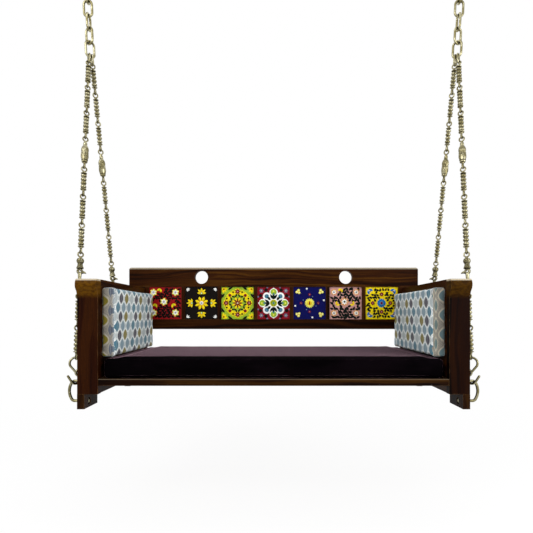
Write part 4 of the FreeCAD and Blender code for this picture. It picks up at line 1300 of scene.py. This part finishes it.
def corded_seam(path, width, sides=8):
    """A thin round cord along a closed path."""
    points = []
    total = len(path)
    for number in range(total):
        here = Vector(path[number])
        line = (Vector(path[(number + 1) % total]) - Vector(path[number - 1])).normalized()
        out = line.cross(Vector((0, 0, 1))).normalized()
        over = out.cross(line)
        for step in range(sides):
            angle = FULL_TURN * step / sides
            points.append(here + (out * math.cos(angle) + over * math.sin(angle)) * width / 2)
    return points, grid_faces(total, sides, True)


class SWING_OT_cushion(bpy.types.Operator):
    """Fills the velvet seat cushion and sews its corded seams"""
    bl_idname = "swing.cushion"
    bl_label = "Seat cushion"

    def execute(self, context):
        values = look().cushion
        low, high = (np.array(corner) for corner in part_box("seat_cushion"))
        inset = np.array([0.001, 0.003, 0.0])
        headroom = np.array([0.0, 0.0, 0.008])
        corner, cell = 0.008, 0.0075
        mesh = rounded_block(low + inset, high - inset - headroom, corner, cell)
        set_points(mesh, swollen(mesh, values.swell))
        mesh = subdivided(mesh)
        points = self.pressed(mesh_parts(mesh)[0], values, low, high)
        set_points(mesh, points)
        mesh.materials.clear()
        mesh.materials.append(velvet())
        mesh.polygons.foreach_set("use_smooth", [True] * len(mesh.polygons))
        piece = show("velvet_cushion", mesh)
        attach(piece, "cushion")
        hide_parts("seat_cushion")
        self.sew(points, values)
        return {"FINISHED"}

    def pressed(self, points, values, low, high):
        """Presses the cushion flat under the arm pads, and lets its top fall towards front and rear."""
        pad_low, pad_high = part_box("arm_pad_left")
        pad_gap, pad_margin, rise, headroom = 0.0012, 0.002, 0.05, 0.002
        under_pads = pad_low.z - pad_gap
        over = np.clip((abs(pad_high.x) + pad_margin - np.abs(points[:, 0])) / rise, 0.0, 1.0)
        over = over * over * (3 - 2 * over)
        points[:, 2] = np.minimum(points[:, 2], under_pads + over * (high[2] - under_pads))
        edge = np.minimum(points[:, 1] - low[1], high[1] - points[:, 1])
        fall = 1 - np.sqrt(1 - np.clip(1 - edge / (1.4 * values.crown), 0, 1) ** 2)
        points[:, 2] = np.minimum(points[:, 2], high[2] - headroom - values.crown * fall)
        points[:, 2] = np.maximum(points[:, 2], low[2])
        points[:, :2] = np.clip(points[:, :2], low[:2], high[:2])
        return points

    def sew(self, points, values):
        """Corded seams where the top and the bottom panel meet the boxing."""
        low, high = points.min(axis=0), points.max(axis=0)
        middle = (low + high) / 2
        shape = Shape()
        steps, band_half = 240, 0.003
        for share_up in (0.16, 0.86):
            level = low[2] + (high[2] - low[2]) * share_up
            near = points[np.abs(points[:, 2] - level) < band_half]
            bearing = np.arctan2((near[:, 1] - middle[1]) / (high[1] - low[1]),
                                 (near[:, 0] - middle[0]) / (high[0] - low[0]))
            order = np.argsort(bearing)
            near, bearing = near[order], bearing[order]
            path = []
            for angle in (np.arange(steps) + 0.5) / steps * FULL_TURN - math.pi:
                spot = near[np.abs(bearing - angle).argsort()[:6]].mean(axis=0)
                path.append((spot[0], spot[1], level))
            path = np.array(path)
            for _ in range(3):  # smooths the path
                path = (np.roll(path, 1, axis=0) + path * 2 + np.roll(path, -1, axis=0)) / 4
            shape.add(*corded_seam(path.tolist(), values.piping))
        mesh = shape.mesh("cushion_piping", [velvet()])
        piece = show(mesh.name, mesh)
        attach(piece, "cushion")


def lay_cloth(mesh, side, low, high):
    """Lays a flat map in metres round a pad: backwards from its front corner, and down from its top. The
    rows sink a little on the front end, and elsewhere the leaves lean to the front."""
    values = look().cloth
    number = list(SIDES).index(side)
    inner = high[0] if side == "left" else low[0]
    uv = mesh.uv_layers.new(name="Cloth")
    points, _ = mesh_parts(mesh)
    normals = np.empty(len(mesh.polygons) * 3)
    mesh.polygons.foreach_get("normal", normals)
    normals = normals.reshape(-1, 3)
    corners = np.empty(len(mesh.loops), int)
    mesh.loops.foreach_get("vertex_index", corners)
    owners = np.repeat(np.arange(len(mesh.polygons)), [polygon.loop_total for polygon in mesh.polygons])
    spot = points[corners]
    facing = normals[owners]
    depth = np.abs(inner - spot[:, 0])
    square = 0.7
    front, back = facing[:, 1] < -square, facing[:, 1] > square
    level = np.abs(facing[:, 2]) > square
    along = spot[:, 1] - low[1] + np.where(front, -depth, 0.0) + np.where(back, depth, 0.0)
    along += np.where(front, -values.end_shift[number], 0.0)
    along += np.where(front | back, 0.0, values.lean * (high[2] - spot[:, 2]))
    up = spot[:, 2] - high[2] + np.where(level, np.sign(facing[:, 2]) * depth, 0.0)
    up += np.where(front, values.skew, 0.0) + values.first_down[number]
    flat = np.stack([along, up], axis=-1).astype(np.float32)
    uv.data.foreach_set("uv", flat.ravel())


class SWING_OT_arm_pads(bpy.types.Operator):
    """Fills the two arm pads and covers them with the leaf cloth"""
    bl_idname = "swing.arm_pads"
    bl_label = "Arm pads"

    def execute(self, context):
        values = look().cloth
        for side, sign in SIDES.items():
            low, high = (np.array(corner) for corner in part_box("arm_pad_" + side))
            inset = np.array([0.001, 0.003, 0.001])
            corner, cell = 0.006, 0.0045
            mesh = rounded_block(low + inset, high - inset, corner, cell)
            set_points(mesh, swollen(mesh, values.swell))
            mesh = subdivided(mesh)
            points, _ = mesh_parts(mesh)
            points = self.pulled(points, low, high, sign)
            points = np.clip(points, low, high)
            set_points(mesh, points)
            lay_cloth(mesh, side, low, high)
            mesh.materials.clear()
            mesh.materials.append(pad_cloth())
            mesh.polygons.foreach_set("use_smooth", [True] * len(mesh.polygons))
            piece = show("leaf_pad_" + side, mesh)
            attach(piece, "seat")
            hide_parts("arm_pad_" + side)
        return {"FINISHED"}

    def pulled(self, points, low, high, sign):
        """Shallow folds that run out of the pad's corners, where the cloth is drawn round."""
        inward = -sign
        inner = high[0] if sign < 0 else low[0]
        fold_depth, folds, fold_reach, face_depth = 0.0016, 14, 0.05, 0.012
        open_face = np.clip(1 - np.abs(points[:, 0] - inner) / face_depth, 0, 1)
        result = points.copy()
        for y_end in (low[1], high[1]):
            for z_end in (low[2], high[2]):
                away_y = np.abs(points[:, 1] - y_end)
                away_z = np.abs(points[:, 2] - z_end)
                reach = np.exp(-(away_y + away_z) / fold_reach)
                fold = 0.5 + 0.5 * np.cos(np.arctan2(away_z, away_y) * folds)
                result[:, 0] -= inward * open_face * reach * fold_depth * fold
        return result


# Painted tiles
def blade_parts(path, halves, height):
    """A domed strip along a path, closed below: the stroke of a loaded brush."""
    path = np.array(path, float)
    line = np.gradient(path, axis=0)
    line /= np.maximum(np.linalg.norm(line, axis=1, keepdims=True), 1e-9)
    out = np.stack([-line[:, 1], line[:, 0]], axis=-1)
    points = []
    for centre, side, half in zip(path, out, halves):
        for share_out, rise in ((1.0, 0.0), (0.72, 0.85), (0.0, 1.0), (-0.72, 0.85), (-1.0, 0.0)):
            spot = centre + side * half * share_out
            points.append((spot[0], spot[1], height * rise))
    faces = [face[::-1] for face in grid_faces(len(path), 5)]
    faces.append(tuple(range(5)))
    faces.append(tuple((len(path) - 1) * 5 + step for step in range(5))[::-1])
    return points, faces


# Widths of a stroke from its root to its tip, as shares of its full width
PETAL = (0.30, 0.80, 1.0, 0.82, 0.10)
LEAF = (0.12, 0.85, 1.0, 0.60, 0.04)
BROAD = (0.55, 0.95, 1.0, 0.95, 0.45)
# Reach of the scattered leaves from a tile's middle, in millimetres
TILE_REACH = 68.0
# Half the width of a tile that its frame leaves open, in metres
WINDOW_HALF = 0.0738


class Painter:
    """Paints one tile's face with raised glaze. Sizes are in millimetres from the tile's middle, X to
    the right and Y up, and each later layer lies a little higher."""

    def __init__(self, relief):
        self.shape = Shape()
        self.relief = relief
        self.inks = []
        self.layer = 0

    def number(self, ink):
        if ink not in self.inks:
            self.inks.append(ink)
        return self.inks.index(ink)

    def lift(self, high):
        return self.relief * (0.55 + 0.28 * high)

    def stroke(self, ink, path, width, profile=LEAF, high=0):
        shares = np.linspace(0, 1, len(path))
        halves = np.interp(shares, np.linspace(0, 1, len(profile)), profile) * width / 2 * MM
        points, faces = blade_parts(np.array(path) * MM, halves, self.lift(high))
        self.shape.add(points, faces, self.number(ink))

    def blade(self, ink, x, y, angle, long, wide, bend=0.0, profile=LEAF, high=0):
        """A leaf or petal from a point, along an angle in degrees, curving by bend degrees."""
        path = [(x, y)]
        heading = math.radians(angle - bend / 2)
        for _ in range(4):
            x, y = x + long / 4 * math.cos(heading), y + long / 4 * math.sin(heading)
            path.append((x, y))
            heading += math.radians(bend) / 3
        self.stroke(ink, path, wide, profile, high)

    def disc(self, ink, x, y, radius, high=0, around=14):
        profile = [(radius * MM, 0.0), (radius * 0.93 * MM, self.lift(high) * 0.85),
                   (radius * 0.55 * MM, self.lift(high))]
        self.shape.add(*lathe(profile, around), self.number(ink), Matrix.Translation((x * MM, y * MM, 0.0)))

    def rosette(self, ink, x, y, petals, inner, long, wide, turn=0.0, profile=PETAL, high=1):
        """Petals round a point, made by the ring tree from one petal."""
        one = Shape()
        shares = np.linspace(0, 1, 5)
        one.add(*blade_parts([(long * s * MM, 0.0) for s in shares],
                             [share_out * wide / 2 * MM for share_out in profile], self.lift(high)))
        values = {"Count": petals, "Radius": inner * MM}
        points, faces = repeated(one.mesh("petal"), ring_tree(), values, glaze(ink))
        matrix = Matrix.Translation((x * MM, y * MM, 0.0)) @ Matrix.Rotation(math.radians(turn), 4, "Z")
        self.shape.add(points, faces, self.number(ink), matrix)

    def around(self, draw, times=4, start=0.0):
        """Calls draw(turn) for each of so many equal turns, in degrees."""
        for step in range(times):
            draw(start + 360.0 * step / times)


def polar(radius, angle):
    return radius * math.cos(math.radians(angle)), radius * math.sin(math.radians(angle))


def daisy(p, x, y, size, petal_ink, heart_ink, petals=6, outline=None, turn=0.0, high=1):
    """A small flower: petals, with longer ones under them where an outline is asked, and a heart."""
    long = 0.62 if outline else 0.86
    if outline:
        p.rosette(outline, x, y, petals, size * 0.25, size * 0.75, size * 3.9 / petals, turn, PETAL, high)
    p.rosette(petal_ink, x, y, petals, size * 0.12, size * long, size * 2.7 / petals, turn, PETAL, high + 1)
    p.disc(heart_ink, x, y, size * 0.24, high + 2)


def tulip(p, x, y, angle, size, ink, heart_ink, high=1):
    """Three petals that open along an angle in degrees."""
    for off in (-34, 34):
        p.blade(ink, x, y, angle + off, size, size * 0.5, -off * 0.7, PETAL, high)
    p.blade(heart_ink, x, y, angle, size * 0.8, size * 0.34, 0, LEAF, high + 1)


def scatter(p, ink, clear, pitch, long, wide, root=(0.0, 0.0), seed=1):
    """Leaves that fill the ground between the flowers and spread from a root. clear lists the places
    (x, y, radius) that they stay out of."""
    chance = random.Random(seed)
    steps = math.ceil(TILE_REACH / pitch)
    for row in range(-steps, steps + 1):
        for column in range(-steps, steps + 1):
            x = (column + 0.5 * (row % 2) + chance.uniform(-0.15, 0.15)) * pitch
            y = (row + chance.uniform(-0.15, 0.15)) * pitch
            side = 1 if (row + column) % 2 else -1
            heading = math.degrees(math.atan2(y - root[1], x - root[0])) + side * chance.uniform(18, 45)
            dx, dy = polar(long / 2, heading)
            free = all(math.hypot(x - spot[0], y - spot[1]) > spot[2] + wide * 0.7 for spot in clear)
            if free and max(abs(x), abs(y)) < TILE_REACH:
                p.blade(ink, x - dx, y - dy, heading, long, wide, -side * 25, LEAF, 0)


def paint_scrolls(p):
    """Red ground, black leaves, white flowers in yellow petals, and yellow tulips."""
    flowers = [(-8, 6, 18), (45, 49, 17), (45, -44, 17), (-56, 49, 17), (-56, -44, 17)]
    tulips = [(32, -4, -60), (-25, 66, -110), (-46, -4, 250)]
    for x, y, size in flowers:
        daisy(p, x, y, size, "white", "navy", 6, "lemon", 22.5)
        p.disc("white", x, y, size * 0.11, 4)
    for x, y, angle in tulips:
        tulip(p, x, y, angle, 17, "yellow", "lime")
    scatter(p, "black", [(x, y, 12) for x, y, _ in flowers + tulips], 10.6, 16, 10)


def paint_daisies(p):
    """Black ground, a yellow daisy, half daisies that open to the edges and pale corner leaves."""
    p.rosette("maroon", 0, 0, 8, 13, 12, 6, 0, LEAF, 1)
    p.rosette("yellow", 0, 0, 8, 6, 25, 13, 22.5, PETAL, 2)
    p.rosette("orange", 0, 0, 8, 6, 9, 6, 0, PETAL, 3)
    p.disc("white", 0, 0, 8.5, 4)
    p.disc("black", 0, 0, 4, 5)
    p.disc("white", 0, 0, 1.8, 6)

    def edge(turn):
        x, y = polar(45, turn)
        for off in (-86, -43, 0, 43, 86):
            p.blade("yellow", x, y, turn + off, 24 if abs(off) < 80 else 20, 9.5, 0, PETAL, 1)
            p.blade("orange", x, y, turn + off, 14, 3.4, 0, LEAF, 2)
        p.disc("lime", x, y, 5.5, 3)
        p.disc("white", x, y, 2.6, 4)
        x, y = polar(95, turn + 45)
        for off in (-34, 0, 34):
            p.blade("white", x, y, turn + 225 + off, 15, 7, 0, LEAF, 1)
    p.around(edge)


def paint_medallion(p):
    """Lime ground, a yellow ring with dark red rosettes about a lime middle, and yellow corners."""
    p.disc("yellow", 0, 0, 62, 0, 48)
    p.disc("lime", 0, 0, 42, 1, 40)

    def eighth(turn):
        x, y = polar(31, turn + 22.5)
        for off in (-48, 48):
            p.blade("green", x, y, turn + 22.5 + off, 18, 10, -off, LEAF, 3)
        p.blade("green", *polar(20, turn + 22.5), turn + 22.5, 14, 9, 0, LEAF, 3)
        p.disc("green", *polar(54, turn + 22.5), 4.6, 3)
        for off in (-1, 1):
            p.blade("lime", *polar(56, turn + off * 10), turn + off * 75, 11, 4, 0, LEAF, 3)
    p.around(eighth, 8)
    for turn in range(0, 360, 90):
        p.disc("yellow", *polar(53, turn), 14.5, 2, 20)
        p.disc("maroon", *polar(53, turn), 10, 3)
        daisy(p, *polar(53, turn), 15, "maroon", "pink", 7, None, 0, 3)
        p.disc("yellow", *polar(50, turn + 45), 9.5, 2, 16)
        p.disc("maroon", *polar(50, turn + 45), 7.5, 3)
    p.rosette("yellow", 0, 0, 8, 10, 19, 11, 22.5, PETAL, 4)
    p.disc("yellow", 0, 0, 17, 4, 20)
    p.rosette("maroon", 0, 0, 8, 4, 18, 10, 0, PETAL, 5)
    p.disc("maroon", 0, 0, 10, 5)
    p.disc("cream", 0, 0, 4, 7)

    def corner(turn):
        x, y = polar(97, turn)
        for off in (-36, 0, 36):
            p.blade("yellow", x, y, turn + 180 + off, 24, 11, 0, PETAL, 1)
        p.disc("maroon", *polar(90, turn), 4, 2)
        for off in (-1, 1):
            p.blade("green", *polar(73, turn + off * 9), turn + off * 102, 27, 10.5, off * 30, LEAF, 1)
            p.blade("green", *polar(84, turn + off * 14), turn + off * 110, 16, 8, off * 20, LEAF, 1)
    p.around(corner, 4, 45)


def paint_lobes(p):
    """Crimson ground and a white rosette of eight lobes with lime and teal dots."""
    p.disc("white", 0, 0, 42, 1, 32)

    def quarter(turn):
        p.disc("white", *polar(48, turn), 19.5, 1, 24)
        p.blade("white", *polar(56, turn), turn, 15, 16, 0, LEAF, 1)
        p.disc("white", *polar(44, turn + 45), 18, 1, 24)
        p.disc("lime", *polar(51, turn), 15, 2, 20)
        p.disc("lemon", *polar(54, turn), 4.5, 3)
        p.disc("teal", *polar(44, turn + 45), 10.5, 2)
        p.disc("grey_blue", *polar(47, turn + 45), 4, 3)
        for off in (-36, 0, 36):
            p.blade("green", *polar(18, turn), turn + off, 28, 14, 0, LEAF, 4)
        p.disc("teal", *polar(42, turn), 4.4, 5)
        p.blade("green", *polar(20, turn + 45), turn + 45, 22, 14, 0, LEAF, 3)
    p.around(quarter)
    p.disc("yellow", 0, 0, 17, 4, 20)
    p.rosette("lime", 0, 0, 8, 3, 13, 7, 0, PETAL, 5)
    p.rosette("green", 0, 0, 8, 6, 10, 4, 22.5, LEAF, 6)
    p.disc("teal", 0, 0, 5, 7)

    def corner(turn):
        daisy(p, *polar(80, turn), 10.5, "grey_blue", "cream", 6)
        for off in (-1, 1):
            p.disc("black", *polar(69, turn + off * 15), 8, 0)
            p.disc("grey_blue", *polar(77, turn + off * 23), 4, 1)
    p.around(corner, 4, 45)


def paint_night(p):
    """Navy ground, a lemon flower, small red flowers, white dots and three-petal corners."""
    p.rosette("lemon", 0, 0, 16, 10, 12, 6, 0, BROAD, 1)
    p.disc("lemon", 0, 0, 17, 2, 24)
    p.disc("orange", 0, 0, 11, 3, 20)
    p.disc("yellow", 0, 0, 9.5, 4, 20)
    p.stroke("maroon", [(0, -8), (0, -4), (0, 0), (0, 4), (0, 8)], 10, BROAD, 5)

    def quarter(turn):
        daisy(p, *polar(39.5, turn), 8, "maroon", "pink", 5)
        p.disc("white", *polar(67, turn + 101), 4.4, 1)
        p.disc("grey_blue", *polar(32.5, turn + 65), 2.4, 1)
        x, y = polar(74, turn + 45)
        for off in (0, 120, 240):
            dx, dy = polar(6.4, turn + 45 + 180 + off)
            p.disc("lemon", x + dx, y + dy, 6, 1)
            p.disc("white", x + dx, y + dy, 2.2, 2)
        p.disc("orange", x, y, 2.6, 3)
    p.around(quarter)


def paint_foliage(p):
    """Pink ground, five flowers, and dark foliage that climbs from the foot."""
    flowers = [(-53, 50), (49, 50), (-53, -46), (49, -46)]
    for x, y in flowers:
        daisy(p, x, y, 15, "white", "black", 7, "orange")
    daisy(p, -5, 6, 20, "white", "black", 8, "orange")
    tulips = [(-44, -8, 40), (38, -8, 140), (-20, 66, 250)]
    for x, y, angle in tulips:
        tulip(p, x, y, angle, 18, "yellow", "orange")
    p.stroke("green", [(-4, -72), (-3, -56), (-2, -40), (-3, -22)], 5, BROAD)
    for lean in (26, 50):
        for side in (-1, 1):
            dx, dy = polar(42, 90 + side * lean)
            bend = (-4 + dx / 2 - side * 3, -70 + dy / 2)
            p.stroke("green", [(-4, -70), bend, (-4 + dx, -70 + dy)], 4, BROAD)
    clear = [(x, y, 10) for x, y in flowers] + [(-5, 6, 14)] + [(x, y + 4, 7) for x, y, _ in tulips]
    scatter(p, "green", clear, 13.0, 20, 11.5, (-4.0, -70.0), 4)


def paint_meadow(p):
    """Yellow ground, a blue flower, dark red flowers and blue corners among dark leaves."""
    p.rosette("blue", 0, 0, 12, 10, 11, 7, 0, BROAD, 2)
    p.disc("blue", 0, 0, 18, 3, 20)
    p.disc("grey_blue", 0, 0, 9, 4, 18)
    p.disc("maroon", 0, 0, 6, 5)
    p.disc("navy", 0, 0, 2.4, 6)
    clear = [(0, 0, 20)]

    def quarter(turn):
        p.disc("maroon", *polar(40, turn), 8, 1)
        daisy(p, *polar(40, turn), 12, "maroon", "pink", 7)
        clear.append((*polar(40, turn), 8))
        x, y = polar(75, turn + 45)
        tulip(p, *polar(86, turn + 45), turn + 225, 22, "blue", "white")
        p.disc("maroon", x, y, 3.6, 3)
        clear.append((x, y, 10))
    p.around(quarter)
    scatter(p, "green", clear, 12.4, 17, 10.5, (0.0, 0.0), 9)


# Ground and painter of each tile, from the left
TILES = [
    ("red", paint_scrolls), ("black", paint_daisies), ("lime", paint_medallion), ("crimson", paint_lobes),
    ("navy", paint_night), ("pink", paint_foliage), ("yellow", paint_meadow),
]


class SWING_OT_tiles(bpy.types.Operator):
    """Glazes the seven tiles and paints each one's flowers"""
    bl_idname = "swing.tiles"
    bl_label = "Tiles"

    def execute(self, context):
        values = look().glaze
        for number, (ground, paint_face) in enumerate(TILES, 1):
            node = f"backrest_tile_{number}"
            dress(node, glaze(ground))
            low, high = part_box(node)
            painter = Painter(values.relief)
            paint_face(painter)
            shape = Shape()
            points = np.concatenate(painter.shape.points)
            points[:, :2] = np.clip(points[:, :2], -WINDOW_HALF, WINDOW_HALF)
            onto = Matrix(((1, 0, 0, (low.x + high.x) / 2), (0, 0, -1, low.y),
                           (0, 1, 0, (low.z + high.z) / 2), (0, 0, 0, 1)))
            shape.add(points, painter.shape.faces, 0, onto)
            shape.numbers = painter.shape.numbers
            mesh = shape.mesh(f"tile_flowers_{number}", [glaze(ink) for ink in painter.inks])
            sharpen(mesh, 50.0)
            piece = show(mesh.name, mesh)
            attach(piece, "seat")
        return {"FINISHED"}


# Stage
# Place and size of each lamp, and the level that they all aim at
LAMPS = {"key": ((-1.9, -2.6, 0.9), 2.2), "fill": ((2.4, -1.9, -0.6), 2.0), "top": ((0.2, 0.6, 1.6), 2.4)}
AIM_LEVEL = -1.2
CAMERA_PLACE = (0.0, -1.7671, -1.381)
LENS = {"sensor_width": 36.0, "lens": 29.18, "shift_x": -0.0133, "shift_y": 0.0891, "clip_start": 0.05}
FLOOR_HALF = 14.0
# Distance from the middle within which the floor keeps its full share of shadow
FLOOR_CORE = 0.5


def background_rays(n):
    """A mask of the rays that see the plain background: straight ones, mirrored and passed through."""
    rays = n.add("ShaderNodeLightPath").outputs
    bent = n.math("MAXIMUM", rays["Is Glossy Ray"], rays["Is Transmission Ray"])
    return n.math("MAXIMUM", rays["Is Camera Ray"], bent)


class SWING_OT_stage(bpy.types.Operator):
    """Sets the pale floor, the soft lights and the camera"""
    bl_idname = "swing.stage"
    bl_label = "Stage"

    def execute(self, context):
        values = look().stage
        scene = context.scene
        scene.view_settings.view_transform = "Standard"
        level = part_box("foot_boards_front")[0].z - values.floor_drop
        mesh = bpy.data.meshes.new("floor")
        corners = [(x * FLOOR_HALF, y * FLOOR_HALF, level) for x, y in ((-1, -1), (1, -1), (1, 1), (-1, 1))]
        mesh.from_pydata(corners, [], [(0, 1, 2, 3)])
        mesh.materials.append(self.floor_finish(values))
        show("floor", mesh)
        self.light_world(values)
        for name, (place, size) in LAMPS.items():
            self.lamp(name, place, size, getattr(values, name))
        self.set_camera(scene)
        return {"FINISHED"}

    def floor_finish(self, values):
        material = bpy.data.materials.new("Floor")
        material.use_nodes = True
        n = Nodes(material.node_tree)
        shader = material.node_tree.nodes["Principled BSDF"]
        shader.inputs["Base Color"].default_value = (*values.floor, 1.0)
        shader.inputs["Roughness"].default_value = 0.9
        shader.inputs["Specular IOR Level"].default_value = 0.0
        plain = n.add("ShaderNodeEmission", {"Color": (1.0, 1.0, 1.0), "Strength": 1.0}).outputs[0]
        seen = background_rays(n)
        place = n.add("ShaderNodeTexCoord").outputs["Object"]
        away = n.vector("LENGTH", n.scaled(place, (1.0, 1.0, 0.0))).outputs["Value"]
        kept = n.ramp(away, FLOOR_CORE, values.fade, values.keep, 0.0)
        factor = n.times(seen, n.minus(1.0, kept))
        mixed = n.add("ShaderNodeMixShader", {0: factor, 1: shader.outputs[0], 2: plain}).outputs[0]
        n.feed(material.node_tree.nodes["Material Output"].inputs["Surface"], mixed)
        return material

    def light_world(self, values):
        world = bpy.context.scene.world or bpy.data.worlds.new("World")
        bpy.context.scene.world = world
        world.use_nodes = True
        n = Nodes(world.node_tree)
        world.node_tree.nodes.clear()
        strength = n.add("ShaderNodeMix", {0: background_rays(n), 2: values.world, 3: 1.0}).outputs[0]
        glow = n.add("ShaderNodeBackground", {"Color": (1.0, 1.0, 1.0), "Strength": strength}).outputs[0]
        n.add("ShaderNodeOutputWorld", {"Surface": glow})

    def lamp(self, name, place, size, power):
        data = bpy.data.lights.new(name, "AREA")
        data.energy, data.size = power, size
        lamp = bpy.data.objects.new(name, data)
        bpy.context.scene.collection.objects.link(lamp)
        lamp.location = place
        low, high = CAD_BOX
        aim = Vector(((low.x + high.x) / 2, 0.0, AIM_LEVEL)) - Vector(place)
        lamp.rotation_mode = "QUATERNION"
        lamp.rotation_quaternion = aim.to_track_quat("-Z", "Y")

    def set_camera(self, scene):
        """A level camera in front of the seat, a little below its arms."""
        data = bpy.data.cameras.new("camera")
        for key, value in LENS.items():
            setattr(data, key, value)
        camera = bpy.data.objects.new("camera", data)
        scene.collection.objects.link(camera)
        camera.location = CAMERA_PLACE
        camera.rotation_euler = (math.pi / 2, 0.0, 0.0)
        scene.camera = camera


class SWING_PT_panel(bpy.types.Panel):
    """Lists the steps that dress the swing"""
    bl_idname = "SWING_PT_panel"
    bl_label = "Swing"
    bl_space_type = "VIEW_3D"
    bl_region_type = "UI"
    bl_category = "Swing"

    def draw(self, context):
        for operator in OPERATORS:
            self.layout.operator(operator.bl_idname)


OPERATORS = (SWING_OT_stage, SWING_OT_wood, SWING_OT_metal, SWING_OT_bead_rods, SWING_OT_buds, SWING_OT_birds,
             SWING_OT_cushion, SWING_OT_arm_pads, SWING_OT_tiles)
LOOKS = (WoodLook, BrassLook, LegSizes, ClothLook, CushionLook, GlazeLook, StageLook, SwingLook)


def register():
    for owned in (*LOOKS, *OPERATORS, SWING_PT_panel):
        bpy.utils.register_class(owned)
    bpy.types.Scene.swing_look = bpy.props.PointerProperty(type=SwingLook)


def unregister():
    del bpy.types.Scene.swing_look
    for owned in reversed((*LOOKS, *OPERATORS, SWING_PT_panel)):
        bpy.utils.unregister_class(owned)


def main():
    register()
    for operator in OPERATORS:
        group, name = operator.bl_idname.split(".")
        getattr(getattr(bpy.ops, group), name)()


if __name__ == "__main__":
    main()
